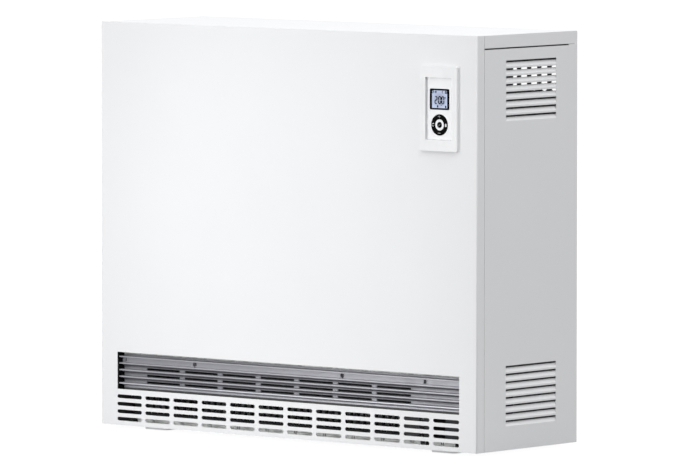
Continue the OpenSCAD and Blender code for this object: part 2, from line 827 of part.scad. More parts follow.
module fan_rotor() {
    disc_t = 2;
    discs = 3;
    inner_r = rotor_r - blade_w - 3;
    shaft_x0 = fan_x0 - end_gap - housing_t - bush_l + 5;
    color(dark_grey) in_body() translate([0, rotor_back, rotor_z]) {
        for (i = [0 : blade_count - 1])
            along_x(fan_x0, rotor_l) rotate(i * 360 / blade_count) blade_2d();
        for (i = [0 : discs])
            translate([fan_x0 + i * (rotor_l - disc_t) / discs, 0, 0]) rotate([0, 90, 0])
                difference() {
                    cylinder(r = rotor_r, h = disc_t);
                    if (i > 0 && i < discs) translate([0, 0, -1])
                        cylinder(r = inner_r, h = disc_t + 2);
                }
        bar_x([shaft_x0, 0, 0], shaft_d / 2, fan_x0 + disc_t / 2 - shaft_x0);
        bar_x([fan_x1 - disc_t / 2, 0, 0], shaft_d / 2, motor_x + motor_l + 3 - fan_x1);
        bar_x([motor_x + motor_plate_t + 0.6, 0, 0], motor_core_r, stack_l - 1.2);
    }
}

// The bush in the housing's left end, round the rotor's shaft.
module fan_bearing() {
    x = fan_x0 - end_gap - housing_t;
    color("peru") in_body() difference() {
        union() {
            bar_x([x - bush_l + 4, rotor_back, rotor_z], bush_r, bush_l);
            bar_x([x - 3, rotor_back, rotor_z], bush_r + 4, 3);
        }
        bar_x([x - bush_l + 3, rotor_back, rotor_z], shaft_d / 2 + fit_gap, bush_l + 2);
    }
}

// A shaded-pole motor: laminated stack, coil and two bearing plates.
module fan_motor() {
    stack_x = motor_x + motor_plate_t;
    back_x = motor_x + motor_l - motor_plate_t;
    color("dimgray") in_body() translate([0, rotor_back, rotor_z]) difference() {
        union() {
            span([motor_x, -34, -20], [stack_x, 34, 20]);
            span([stack_x, -26, -24], [stack_x + stack_l, 26, 24]);
            span([stack_x + stack_l, -15, -24], [back_x - 2, 15, -motor_core_r - 2]);
            for (y = [-24, 20]) span([stack_x + stack_l, y, -4], [back_x, y + 4, 4]);
            span([back_x, -24, -7], [back_x + motor_plate_t, 24, 7]);
        }
        bar_x([stack_x - eps, 0, 0], motor_core_r + fit_gap, stack_l + 2 * eps);
        bar_x([motor_x - 1, 0, 0], shaft_d / 2 + fit_gap, motor_l + 2);
    }
}

module motor_mounts() {
    color(black) in_body() for (y = [-28, 28])
        bar_x([partition_x + plate_t, rotor_back + y, rotor_z], 5, motor_x - partition_x - plate_t);
}

module sensor_bracket() {
    x0 = partition_x + plate_t + 17;
    x1 = x0 + 45;
    color(galvanised) in_body() {
        span([x0, strip_y, sheet_t], [x1, strip_y + 5, 2 * sheet_t]);
        difference() {
            span([x0, strip_y, sheet_t], [x1, strip_y + sheet_t, strip_h]);
            strip_slits(x0 + 16);
        }
    }
}

module room_sensor() {
    x = body_w - 62;
    y = strip_y + 12;
    color(dark_grey) in_body() {
        span([x, y, sheet_t], [x + 12, y + 12, sheet_t + 6]);
        bar_z([x + 6, y + 6, sheet_t + 6 - eps], 3, 12);
        translate([x + 6, y + 6, sheet_t + 18]) sphere(r = 3);
    }
}

// ---- Core ----

element_y = core_y + brick_d / 2;
bend_x = brick_x0 + element_gap / 2 + 20;
groove_r = element_d / 2 + 0.4;
bush_collar_r = element_d / 2 + 2.2;
shaft_clear = shaft_d / 2 + 4.5;
board_top = core_top + top_board_t;

module core_air_slots() {
    for (y = [[channel_y, channel_y + 14], [mouth_front, shell_back]])
        span([fan_x0 + 4, y[0], core_frame_h - 1], [fan_x1 - 4, y[1], core_z + 1]);
}

// The stand that carries the core over the fan and the duct.
module core_frame() {
    color(galvanised) in_body() difference() {
        union() {
            span([core_x0, front_air + plate_t, core_frame_h],
                 [core_x1, rear_front, core_frame_h + plate_t]);
            for (x = [core_x0, core_x1 - plate_t])
                span([x, strip_y + 4, sheet_t], [x + plate_t, rear_front - 5, core_frame_h]);
        }
        core_air_slots();
        bar_x([core_x1 - plate_t - 1, rotor_back, rotor_z], shaft_clear, plate_t + 2);
    }
}

module base_insulation() {
    color(board_cream) in_body() difference() {
        span([core_x0, front_air + plate_t, core_frame_h + plate_t],
             [core_x1, rear_front, core_z]);
        core_air_slots();
    }
}

// One brick, with upright air channels and half grooves for the elements.
module brick(col, row) {
    groove_z = row % 2 == 0 ? brick_h : 0;
    x0 = brick_x0 + col * brick_l;
    groove_x = col == 0 ? bend_x : x0 - 1;
    pocket = element_gap / 2 + groove_r + 3;
    translate([0, 0, core_z + row * brick_h]) difference() {
        span([x0, core_y, 0], [x0 + brick_l - brick_joint, core_y1, brick_h - brick_joint]);
        for (side = [-1, 1])
            span([x0 + brick_l / 2 + side * brick_l / 4 - channel_w / 2, channel_y, -1],
                 [x0 + brick_l / 2 + side * brick_l / 4 + channel_w / 2,
                  channel_y + channel_l, brick_h + 1]);
        for (side = [-1, 1])
            bar_x([groove_x, element_y + side * element_gap / 2, groove_z], groove_r,
                  x0 + brick_l + 1 - groove_x);
        if (col == 0)
            span([bend_x - pocket, element_y - pocket, groove_z - groove_r],
                 [bend_x + eps, element_y + pocket, groove_z + groove_r]);
    }
}

module storage_bricks() {
    color(brick_brown) in_body()
        for (col = [0 : brick_cols - 1], row = [0 : brick_rows - 1]) brick(col, row);
}

module at_element_levels() {
    for (i = [0 : brick_rows / 2 - 1])
        translate([0, element_y, core_z + (2 * i + 1) * brick_h]) children();
}

module at_element_legs() {
    at_element_levels() for (side = [-1, 1])
        translate([0, side * element_gap / 2, 0]) children();
}

module heating_elements() {
    end_x = partition_x + plate_t + 12;
    color("silver") in_body() {
        at_element_levels() translate([bend_x, 0, 0]) rotate(90)
            rotate_extrude(angle = 180) translate([element_gap / 2, 0])
                circle(r = element_d / 2);
        at_element_legs() {
            bar_x([bend_x, 0, 0], element_d / 2, end_x - bend_x);
            bar_x([end_x, 0, 0], element_d / 4, 12);
        }
    }
}

module element_bushes() {
    color("ivory") in_body() at_element_legs() difference() {
        union() {
            bar_x([partition_x + plate_t, 0, 0], bush_collar_r + 2, 6);
            bar_x([partition_x - 3, 0, 0], bush_collar_r, plate_t + 4);
        }
        bar_x([partition_x - 4, 0, 0], element_d / 2 + 0.2, 14);
    }
}

module left_insulation() {
    color(board_cream) in_body()
        span([core_x0, core_y, core_z], [brick_x0, core_y1, core_top]);
}

sensor_z = core_z + (brick_rows / 2 + 0.5) * brick_h;
sensor_r = 3;

module right_insulation() {
    color(board_cream) in_body() difference() {
        span([brick_x1, core_y, core_z], [core_x1, core_y1, core_top]);
        at_element_legs() {
            bar_x([brick_x1 - 1, 0, 0], groove_r, side_board_t + 2);
            bar_x([core_x1 - 3.5, 0, 0], bush_collar_r + 0.3, 5);
        }
        bar_x([brick_x1 - 1, element_y, sensor_z], sensor_r + 0.4, side_board_t + 2);
    }
}

module front_insulation() {
    color(board_cream) in_body()
        span([core_x0, front_air + plate_t, core_z], [core_x1, core_y, board_top]);
}

module rear_insulation() {
    color(board_cream) in_body()
        span([core_x0, core_y1, core_z], [core_x1, rear_front, board_top]);
}

module top_insulation() {
    color(board_cream) in_body()
        span([core_x0, core_y, core_top], [core_x1, core_y1, board_top]);
}

module inner_front_plate() {
    color(galvanised) in_body() {
        span([core_x0, front_air, core_frame_h], [core_x1, front_air + plate_t, board_top]);
        for (x = [core_x0 + 20, (core_x0 + core_x1) / 2 - 15, core_x1 - 50])
            span([x, sheet_t, core_frame_h], [x + 30, front_air + eps, core_frame_h + 2]);
    }
}

// ---- Electrics ----

cutout_z = core_top + 18;
cutout_l = 12;
tray_back_x = partition_x + plate_t + 30;
tray_y0 = 60;
tray_y1 = rear_front - 22.7;
tray_low = core_z + 26;
tray_high = core_top - 69;
board_x = tray_back_x + plate_t + board_off;
board_y = (tray_y0 + tray_y1 - board_l) / 2;
board_z = tray_high - board_h - 20;
board_face = board_x + board_t;

// The steel wall between the core and the electrics.
module partition() {
    color(galvanised) in_body() difference() {
        union() {
            span([partition_x, front_air, sheet_t],
                 [partition_x + plate_t, rear_front, board_top]);
            span([partition_x, rear_front - sheet_t, tray_lip + 2],
                 [partition_x + flange_w, rear_front, board_top]);
        }
        span([partition_x - 1, 0, 0], [partition_x + plate_t + 1, strip_y + 4, duct_z + 2]);
        span([partition_x - 1, 0, 0],
             [partition_x + plate_t + 1, duct_flange_y + plate_t + 1, core_frame_h]);
        span([partition_x - 1, rear_front - sheet_t, 0],
             [partition_x + plate_t + 1, rear_front + 1, tray_lip]);
        bar_x([partition_x - 1, rotor_back, rotor_z], shaft_clear, plate_t + 2);
        at_element_legs() bar_x([partition_x - 1, 0, 0], bush_collar_r + 0.2, plate_t + 2);
        bar_x([partition_x - 1, element_y, sensor_z], sensor_r + 0.4, plate_t + 2);
        bar_x([partition_x - 1, element_y, cutout_z], 5, plate_t + 2);
    }
}

// A channel on the partition, in front of the elements' ends, for the electrics.
module electrics_plate() {
    x0 = partition_x + plate_t;
    color(galvanised) in_body() {
        span([tray_back_x, tray_y0, tray_low], [tray_back_x + plate_t, tray_y1, tray_high]);
        for (y = [tray_y0, tray_y1 - plate_t])
            span([x0, y, tray_low], [tray_back_x + plate_t, y + plate_t, tray_high]);
        for (y = [tray_y0 - 10, tray_y1 - plate_t])
            span([x0, y, tray_low], [x0 + plate_t, y + 10 + plate_t, tray_high]);
    }
}

spacer_r = 3;
spacer_in = 8;

module at_spacers() {
    for (y = [board_y + spacer_in, board_y + board_l - spacer_in],
         z = [board_z + spacer_in, board_z + board_h - spacer_in])
        translate([tray_back_x + plate_t, y, z]) children();
}

module board_spacers() {
    color("white") in_body() at_spacers() {
        bar_x([0, 0, 0], spacer_r, board_off);
        bar_x([board_off - eps, 0, 0], 1.5, board_t + 2);
    }
}

module control_board() {
    color(board_green) in_body() difference() {
        span([board_x, board_y, board_z], [board_face, board_y + board_l, board_z + board_h]);
        at_spacers() bar_x([board_off - 1, 0, 0], 1.7, board_t + 2);
    }
}

module board_relays() {
    color("royalblue") in_body() for (i = [0 : 2])
        span([board_face, board_y + 20 + i * 24, board_z + 14],
             [board_face + 16, board_y + 39 + i * 24, board_z + 29]);
}

module board_capacitors() {
    color(black) in_body() for (i = [0 : 2])
        bar_x([board_face, board_y + 28 + i * 16, board_z + board_h - 22], 6, 20);
}

module board_transformer() {
    y = board_y + board_l - 52;
    z = board_z + board_h / 2 - 18;
    color("gold") in_body() {
        span([board_face, y, z], [board_face + 26, y + 34, z + 30]);
        span([board_face + 4, y + 6, z - 5], [board_face + 22, y + 28, z + 35]);
    }
}

// A five-way block: each way has two screw wells.
module terminal_block() {
    ways = 5;
    pitch = 13;
    x = tray_back_x + plate_t;
    z = tray_low + 24;
    color(key_white) in_body() for (i = [0 : ways - 1])
        translate([x, tray_y0 + 40 + i * pitch, z]) difference() {
            union() {
                span([0, 0, 0], [14, pitch + eps, 24]);
                span([0, 1.5, 4], [20, pitch - 1.5, 20]);
            }
            for (well = [7.5, 16.5]) bar_x([9, pitch / 2, well], 3, 12);
            bar_z([6, pitch / 2, -1], 2.2, 26);
        }
}

cutout_x = partition_x + plate_t;

module safety_cutout() {
    color(black) in_body() difference() {
        union() {
            bar_x([cutout_x, element_y, cutout_z], cutout_d / 2, cutout_l);
            bar_x([cutout_x, element_y, cutout_z], reset_d / 2 + 3, cutout_l + 4);
            for (side = [-1, 1])
                span([cutout_x, element_y + side * 11 - 3, cutout_z - cutout_d / 2 - 6],
                     [cutout_x + 6, element_y + side * 11 + 3, cutout_z]);
        }
        bar_x([cutout_x + cutout_l - 4, element_y, cutout_z], reset_d / 2 + fit_gap, 10);
    }
}

module reset_button() {
    x = cutout_x + cutout_l - 4 + reset_travel + fit_gap;
    color("firebrick") in_body()
        bar_x([x, element_y, cutout_z], reset_d / 2, cutout_x + cutout_l + 8 - x);
}

module core_sensor() {
    color("silver") in_body() {
        bar_x([brick_x1, element_y, sensor_z], sensor_r, partition_x + plate_t - brick_x1);
        bar_x([partition_x + plate_t, element_y, sensor_z], sensor_r + 3, 8);
    }
}

// The grommet in the rear panel where the supply cable enters.
module cable_bush() {
    lip = 2;
    color(black) in_body() difference() {
        union() {
            for (y = [rear_front - lip, rear_face])
                bar_y([entry_x, y, entry_z], entry_d / 2 + 2.5, lip);
            bar_y([entry_x, rear_front - eps, entry_z], entry_d / 2, sheet_t + 2 * eps);
        }
        bar_y([entry_x, rear_front - lip - 1, entry_z], entry_d / 2 - 4, sheet_t + 2 * lip + 2);
    }
}

// ---- Controller ----

fascia_front = fascia_sink - frame_proud;
fascia_back = fascia_front + fascia_t;
fascia_play = 0.2;
fascia_flange = 3;
groove_floor = fascia_back - 0.8;
key_front = fascia_front - key_proud;
key_back = groove_floor - key_travel - 0.2;
stem_r = 1.4;
stem_end = fascia_back + 1.8;
switch_top = stem_end + key_travel + 0.1;
control_board_y = switch_top + 1.2;
control_board_t = 1.6;
box_wall = 2;
key_angles = [90, 270, 180, 0];
stem_at = (ring_d + ring_hole) / 4;

module at_control() { translate([control_x, 0, control_z]) children(); }
module at_ring() { translate([control_x, 0, control_z - ring_down]) children(); }
module at_display() { translate([control_x, 0, control_z + bezel_up]) children(); }

module control_frame() {
    color(white) in_body() at_control() upright(-frame_proud, frame_proud) difference() {
        round_rect(frame_w, frame_h, frame_r);
        square([fascia_w, fascia_h], center = true);
    }
}

// The box behind the frame; its lugs snap behind the front sheet.
module control_box() {
    posts = [for (x = [-1, 1], z = [-1, 1]) [x * 20, z * (fascia_h / 2 - 7)]];
    color(key_white) in_body() at_control() {
        upright(0, control_box_d) difference() {
            square([control_box_w, control_box_h], center = true);
            square([control_box_w - 2 * box_wall, control_box_h - 2 * box_wall], center = true);
        }
        upright(control_box_d - box_wall, box_wall)
            square([control_box_w, control_box_h], center = true);
        for (p = posts)
            bar_y([p[0], control_board_y + control_board_t, p[1]], 3,
                  control_box_d - box_wall - control_board_y - control_board_t + eps);
        for (x = [-20, 10], side = [-1, 1]) translate([x, sheet_t + 0.1, 0])
            span([0, 0, side > 0 ? control_box_h / 2 - eps : -control_box_h / 2 - 1.6],
                 [10, 3, side > 0 ? control_box_h / 2 + 1.6 : -control_box_h / 2 + eps]);
    }
}

module control_fascia() {
    color(key_white) in_body() difference() {
        at_control() {
            upright(fascia_front, fascia_t)
                square([fascia_w - 2 * fascia_play, fascia_h - 2 * fascia_play], center = true);
            upright(0, 1.5)
                square([fascia_w + 2 * fascia_flange, fascia_h + 2 * fascia_flange],
                       center = true);
        }
        at_display() upright(fascia_front - 1, fascia_t + 2)
            round_rect(bezel_w + 2 * fascia_play, bezel_h + 2 * fascia_play, 2 + fascia_play);
        at_ring() {
            upright(fascia_front - 1, groove_floor - fascia_front + 1) difference() {
                circle(r = ring_d / 2 + key_gap);
                circle(r = ring_hole / 2 - key_gap);
            }
            for (a = key_angles)
                bar_y([stem_at * cos(a), fascia_front, stem_at * sin(a)],
                      stem_r + key_gap, fascia_t + 1);
            bar_y([0, fascia_front - 1, 0], ok_d / 2 + key_gap, fascia_t + 2);
        }
    }
}

module display_bezel() {
    color(black) in_body() at_display()
        upright(fascia_front - 0.3, fascia_t + 0.3) difference() {
            round_rect(bezel_w, bezel_h, 2);
            square([lcd_w, lcd_h], center = true);
        }
}

module display_screen() {
    color("lightsteelblue") in_body() at_display()
        upright(fascia_front + 0.1, control_board_y - fascia_front - 0.1)
            square([lcd_w - 2 * fascia_play, lcd_h - 2 * fascia_play], center = true);
}

module display_board() {
    color(board_green) in_body() at_control() {
        upright(control_board_y, control_board_t)
            square([fascia_w - 2, fascia_h - 4], center = true);
        upright(control_board_y + control_board_t - eps, 1.6 + eps)
            translate([0, 4]) square([12, 12], center = true);
    }
}

module key_switches() {
    places = concat([[0, 0]], [for (a = key_angles) [stem_at * cos(a), stem_at * sin(a)]]);
    color("dimgray") in_body() at_ring() for (p = places) {
        upright(switch_top + 0.2, control_board_y - switch_top - 0.2)
            translate(p) square(4.6, center = true);
        bar_y([p[0], switch_top, p[1]], 1.6, 0.3);
    }
}

// A quarter of the key ring, with the stem that works its switch.
module ring_key(angle) {
    slack = key_gap / sqrt(2);
    color(black) in_body() at_ring() {
        upright(key_front, key_back - key_front) intersection() {
            difference() {
                circle(r = ring_d / 2);
                circle(r = ring_hole / 2);
            }
            rotate(angle) polygon([[slack, 0], [slack + ring_d, ring_d],
                                   [slack + ring_d, -ring_d]]);
        }
        bar_y([stem_at * cos(angle), key_back - eps, stem_at * sin(angle)],
              stem_r, stem_end - key_back + eps);
    }
}

module plus_key() { ring_key(key_angles[0]); }
module minus_key() { ring_key(key_angles[1]); }
module mode_key() { ring_key(key_angles[2]); }
module menu_key() { ring_key(key_angles[3]); }

module ok_key() {
    color(black) in_body() at_ring() {
        bar_y([0, key_front, 0], ok_d / 2, key_back - key_front);
        bar_y([0, key_back - eps, 0], stem_r, stem_end - key_back + eps);
    }
}

front_panel();
top_cover();
left_side_panel();
right_side_panel();
rear_panel();
base_tray();
left_foot();
right_foot();
casing_screws();
outlet_grille();
grille_screws();
grille_end_pieces();
lint_filter();
blank_plate();
fan_tray();
outlet_duct();
air_flap();
bimetal_strip();
fan_housing();
fan_rotor();
fan_motor();
fan_bearing();
motor_mounts();
sensor_bracket();
core_frame();
base_insulation();
storage_bricks();
heating_elements();
element_bushes();
left_insulation();
right_insulation();
front_insulation();
rear_insulation();
top_insulation();
inner_front_plate();
partition();
electrics_plate();
control_board();
board_relays();
board_capacitors();
board_transformer();
board_spacers();
terminal_block();
safety_cutout();
reset_button();
core_sensor();
room_sensor();
cable_bush();
control_frame();
control_box();
control_fascia();
display_bezel();
display_screen();
display_board();
key_switches();
plus_key();
minus_key();
mode_key();
menu_key();
ok_key();
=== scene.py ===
"""Storage heater: finishes and small parts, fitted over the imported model."""

import math

import bmesh
import bpy
from bpy.props import FloatProperty, FloatVectorProperty, IntProperty, PointerProperty
from mathutils import Matrix, Vector


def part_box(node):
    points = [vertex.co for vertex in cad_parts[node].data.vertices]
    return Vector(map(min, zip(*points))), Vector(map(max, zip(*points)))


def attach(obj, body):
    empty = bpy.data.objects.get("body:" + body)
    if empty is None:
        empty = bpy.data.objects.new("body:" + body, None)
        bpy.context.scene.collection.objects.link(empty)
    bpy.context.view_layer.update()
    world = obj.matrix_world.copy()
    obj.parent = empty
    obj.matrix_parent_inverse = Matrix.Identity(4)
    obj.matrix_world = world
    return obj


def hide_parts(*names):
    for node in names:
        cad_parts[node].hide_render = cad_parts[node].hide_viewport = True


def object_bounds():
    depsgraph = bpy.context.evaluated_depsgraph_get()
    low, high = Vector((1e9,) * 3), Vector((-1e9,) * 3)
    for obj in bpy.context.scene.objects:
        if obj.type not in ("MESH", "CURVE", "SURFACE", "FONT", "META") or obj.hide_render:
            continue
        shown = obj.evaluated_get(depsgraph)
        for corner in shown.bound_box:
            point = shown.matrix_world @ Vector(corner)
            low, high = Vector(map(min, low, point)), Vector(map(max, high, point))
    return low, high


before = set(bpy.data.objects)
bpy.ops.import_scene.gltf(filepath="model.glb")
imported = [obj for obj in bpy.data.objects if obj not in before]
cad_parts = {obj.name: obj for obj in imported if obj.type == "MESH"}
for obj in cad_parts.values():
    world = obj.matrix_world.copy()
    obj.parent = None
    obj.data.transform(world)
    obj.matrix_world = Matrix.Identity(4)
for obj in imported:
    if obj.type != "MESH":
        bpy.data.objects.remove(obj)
CAD_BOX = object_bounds()

bl_info = {
    "name": "Storage Heater",
    "version": (1, 0, 0),
    "blender": (4, 5, 0),
    "location": "3D View > Sidebar > Heater",
    "description": "Finishes and small parts of a storage heater with a fan and a keypad",
    "category": "Object",
}


# ---- Sizes and colours that a user would change ----


def colour_setting(name, about, *default):
    """An opaque colour."""
    return FloatVectorProperty(
        name=name, description=about, subtype="COLOR", size=4, min=0, max=1, default=(*default, 1))


def length_setting(name, about, low, high, default):
    """A length in metres."""
    return FloatProperty(
        name=name, description=about, subtype="DISTANCE", unit="LENGTH",
        min=low, max=high, default=default)


def place_setting(name, about, *default):
    """A place in metres."""
    return FloatVectorProperty(
        name=name, description=about, subtype="TRANSLATION", unit="LENGTH", size=3, default=default)


def angle_setting(name, about, default, **limits):
    """An angle in radians."""
    return FloatProperty(
        name=name, description=about, subtype="ANGLE", unit="ROTATION", default=default, **limits)


def share_setting(name, about, default):
    """A share from 0 to 1."""
    return FloatProperty(
        name=name, description=about, subtype="FACTOR", min=0, max=1, default=default)


def amount_setting(name, about, high, default):
    """A strength or a power, from nothing up."""
    return FloatProperty(name=name, description=about, min=0, max=high, default=default)


class HeaterCasingSettings(bpy.types.PropertyGroup):
    """Powder-coated and galvanised sheet."""

    coat: colour_setting("Powder Coat", "Colour of the coated casing", 0.80, 0.805, 0.812)
    # Dark primer on the inside of the casing; its darkness also stands in for the shade inside, seen
    # through the slots and louvres.
    primer_and_painted_shade: colour_setting(
        "Primer", "Colour of the coated sheet on the inside of the casing", 0.16, 0.16, 0.162)
    coat_roughness: share_setting("Coat Roughness", "Roughness of the powder coat", 0.42)
    coat_grain: length_setting(
        "Coat Grain", "Size of the fine ripples in the powder coat", 0.0002, 0.01, 0.0013)
    zinc: colour_setting("Zinc", "Colour of the galvanised sheet", 0.60, 0.61, 0.60)
    spangle: length_setting(
        "Spangle Size", "Size of the crystals in the zinc", 0.001, 0.05, 0.009)
    fold_radius: length_setting(
        "Fold Radius", "Rounding of the folded edges of the casing", 0, 0.003, 0.0002)
    edge_radius: length_setting(
        "Sheet Edge Radius", "Rounding of cut sheet edges", 0, 0.001, 0.0002)


class HeaterGrilleSettings(bpy.types.PropertyGroup):
    """Outlet grille, its screws and the intake filter."""

    aluminium: colour_setting("Aluminium", "Colour of the extruded grille", 0.46, 0.46, 0.49)
    streaks: length_setting(
        "Extrusion Streaks", "Depth of the lines left by the extrusion die", 0, 0.001, 0.00004)
    fin_pitch: length_setting(
        "Fin Pitch", "Height from one fin to the next", 0.005, 0.02, 0.0107)
    # How dark the painted shade under each fin is; it stands in for the shadow that each fin casts on
    # the wall below it.
    stain_and_shade: share_setting(
        "Heat Stain", "How dark the hot air leaves the walls under the fins", 0.45)
    # Height of a painted highlight along the grille's lower edge: the lowest bay is made lighter, as
    # if lit.
    lip: length_setting(
        "Grille Lip", "Height of the bright lip along the grille's lower edge", 0, 0.03, 0.0080)
    fin_radius: length_setting(
        "Fin Edge Radius", "Rounding of the fins' front edges", 0, 0.0007, 0.00012)
    screw_dome: length_setting(
        "Screw Head Dome", "Height of the dome of a pan-head screw", 0.0002, 0.003, 0.0008)
    filter_colour: colour_setting("Filter", "Colour of the lint filter", 0.030, 0.031, 0.033)


class HeaterCoreSettings(bpy.types.PropertyGroup):
    """Bricks, insulation and electrics behind the casing."""

    brick: colour_setting("Brick", "Colour of the fired storage bricks", 0.135, 0.085, 0.07)
    board: colour_setting(
        "Insulation", "Colour of the mineral insulation boards", 0.60, 0.56, 0.47)
    chamfer: length_setting("Brick Chamfer", "Worn edge of the bricks", 0, 0.004, 0.0015)
    circuit: colour_setting("Circuit Board", "Colour of the solder resist", 0.012, 0.085, 0.03)
    chips: IntProperty(
        name="Small Parts", description="Number of small surface parts on the board",
        min=0, max=60, default=26)


class HeaterControlSettings(bpy.types.PropertyGroup):
    """Controller in the front panel."""

    frame_colour: colour_setting("Frame", "Colour of the controller's frame", 0.81, 0.815, 0.82)
    fascia: colour_setting("Fascia", "Colour of the glossy fascia", 0.685, 0.69, 0.705)
    backlight: colour_setting("Display", "Colour of the lit display", 0.27, 0.335, 0.50)
    segments: colour_setting(
        "Segments", "Colour of the digits and signs on the display", 0.004, 0.005, 0.012)
    digit_height: length_setting(
        "Digit Height", "Height of the digits of the temperature", 0.004, 0.016, 0.0128)
    digit_slant: angle_setting("Digit Slant", "Lean of the digits", 0.015, min=0, max=0.4)
    edge_radius: length_setting(
        "Moulded Edge Radius", "Rounding of the moulded edges", 0, 0.002, 0.0004)


class HeaterStageSettings(bpy.types.PropertyGroup):
    """Camera, floor and lamps."""

    place: place_setting("Camera Place", "Where the camera stands", 8.59079, -10.21268, 1.2787)
    azimuth: angle_setting(
        "Azimuth", "Turn of the camera round the heater, from the front", math.radians(40.04))
    elevation: angle_setting(
        "Elevation", "Height of the camera above the horizon", math.radians(4.098))
    lens: FloatProperty(
        name="Focal Length", description="Focal length in millimetres",
        min=50, max=1000, default=444.4)
    sky: amount_setting(
        "Room Light", "Strength of the studio's light near the horizon", 3, 0.62)
    ceiling: amount_setting(
        "Ceiling Light", "Strength that the studio's light gains towards the ceiling", 5, 1.1)
    key: amount_setting("Key Light", "Power of the large soft lamp in watts", 500, 52)
    key_place: place_setting(
        "Key Place", "Where the large soft lamp stands", 3.00, -1.99, 3.87)
    fill: amount_setting(
        "Fill Light", "Power of the lamp in front of the heater in watts", 500, 4.15)
    fill_place: place_setting(
        "Fill Place", "Where the lamp in front of the heater stands", -0.23, -0.92, 0.35)
    low: amount_setting("Low Light", "Power of the long lamp near the floor in watts", 50, 0.065)
    low_place: place_setting(
        "Low Place", "Where the long lamp near the floor lies", -0.03, -0.29, 0.02)
    floor_colour: colour_setting("Floor", "Colour of the floor", 0.25, 0.25, 0.25)


# ---- Finishes ----


def tinted(colour, factor):
    """The colour made lighter or darker."""
    return (*(min(1, c * factor) for c in colour[:3]), 1)


class Graph:
    """A node tree, with short ways to add to it."""

    def __init__(self, tree):
        self.tree = tree

    def node(self, kind, inputs=None, **settings):
        """Adds a shader node. An input is a plain value or another node's output."""
        made = self.tree.nodes.new("ShaderNode" + kind)
        for name, value in settings.items():
            setattr(made, name, value)
        for name, value in (inputs or {}).items():
            if isinstance(value, bpy.types.NodeSocket):
                self.tree.links.new(value, made.inputs[name])
            else:
                made.inputs[name].default_value = value
        return made

    def maths(self, operation, *values):
        """One step of arithmetic on plain values and other nodes' outputs."""
        return self.node("Math", dict(enumerate(values)), operation=operation).outputs[0]


class Finish(Graph):
    """A material in the making: its tree, its shader and a coordinate in metres."""

    def __init__(self, name, **values):
        old = bpy.data.materials.get(name)
        if old:
            bpy.data.materials.remove(old)
        self.material = bpy.data.materials.new(name)
        self.material.use_nodes = True
        super().__init__(self.material.node_tree)
        self.shader = self.tree.nodes["Principled BSDF"]
        for socket, value in values.items():
            self.shader.inputs[socket.replace("_", " ")].default_value = value
        self.place = self.node("TexCoord").outputs["Object"]

    def axis(self, letter):
        """The coordinate along one axis."""
        return self.node("SeparateXYZ", {0: self.place}).outputs[letter]

    def stretched(self, scale, turn=(0, 0, 0)):
        """The coordinate scaled by a different factor along each axis."""
        inputs = {"Vector": self.place, "Scale": scale, "Rotation": turn}
        return self.node("Mapping", inputs).outputs[0]

    def cloud(self, scale, detail=3.0, roughness=0.55, place=None):
        """Soft noise from 0 to 1; scale is in features a metre."""
        return self.node("TexNoise", {
            "Vector": self.place if place is None else place, "Scale": scale, "Detail": detail,
            "Roughness": roughness}).outputs["Fac"]

    def lines(self, scale, detail=3.0, roughness=0.55, turn=(0, 0, 0)):
        """Soft noise with its own number of features a metre along each axis."""
        return self.cloud(1.0, detail, roughness, self.stretched(scale, turn))

    def cells(self, scale):
        """Rounded cells; scale is in cells a metre."""
        return self.node("TexVoronoi", {"Vector": self.place, "Scale": scale})

    def band(self, fac, low, high, to_low=0.0, to_high=1.0):
        """Maps fac from low..high to to_low..to_high, clamped."""
        return self.node("MapRange", {
            "Value": fac, "From Min": low, "From Max": high,
            "To Min": to_low, "To Max": to_high}).outputs[0]

    def spread(self, cloud, low, high):
        """Takes the middle of a cloud to the range from low to high."""
        return self.band(cloud, 0.3, 0.7, low, high)

    def shades(self, fac, *stops):
        """A colour ramp from (position, colour) pairs."""
        made = self.node("ValToRGB", {"Fac": fac})
        ramp = made.color_ramp
        while len(ramp.elements) < len(stops):
            ramp.elements.new(1)
        for element, (position, colour) in zip(ramp.elements, stops):
            element.position = position
            element.color = colour
        return made.outputs["Color"]

    def tones(self, fac, colour, *stops):
        """A ramp of one colour from (position, factor) pairs."""
        return self.shades(fac, *((position, tinted(colour, factor)) for position, factor in stops))

    def mixed(self, factor, one, other):
        """The first colour at a factor of 0, the second at 1."""
        inputs = {"Factor": factor, "A": one, "B": other}
        return self.node("Mix", inputs, data_type="RGBA").outputs[2]

    def raised(self, height, distance, strength=1.0, under=None):
        """A bump from a height of 0 to 1, distance metres deep."""
        inputs = {"Height": height, "Distance": distance, "Strength": strength}
        if under is not None:
            inputs["Normal"] = under
        return self.node("Bump", inputs).outputs[0]

    def join(self, **sockets):
        """Links outputs to the shader's sockets, named with _ for a space, and ends the material."""
        for name, output in sockets.items():
            self.tree.links.new(output, self.shader.inputs[name.replace("_", " ")])
        return self.material


def powder_coat(name, colour, roughness, grain, inside=None, primer_and_painted_shade=None):
    """Powder coat on sheet: fine ripples, a little cloudiness; a dark primer where it faces inside,
    which also paints shade into the casing.
    """
    finish = Finish(name, IOR=1.5, Specular_IOR_Level=0.4)
    broad = finish.cloud(3.5, 2)
    flow = finish.cloud(40, 3)
    ripple = finish.cloud(1 / grain, 2, 0.5)
    specks = finish.cloud(2.6 / grain, 1)
    coat = finish.tones(broad, colour, (0.3, 0.985), (0.7, 1.012))
    # Painted shade: faces that face inside take the dark primer colour.
    if inside:
        normal = finish.node("NewGeometry").outputs["True Normal"]
        facing = finish.node("VectorMath", {0: normal, 1: inside}, operation="DOT_PRODUCT")
        coat = finish.mixed(finish.band(facing.outputs["Value"], 0.5, 0.6), coat, primer_and_painted_shade)
    return finish.join(
        Base_Color=coat,
        Roughness=finish.spread(flow, roughness - 0.04, roughness + 0.05),
        Normal=finish.raised(ripple, 0.00006, 0.35, finish.raised(specks, 0.00002, 0.3)))


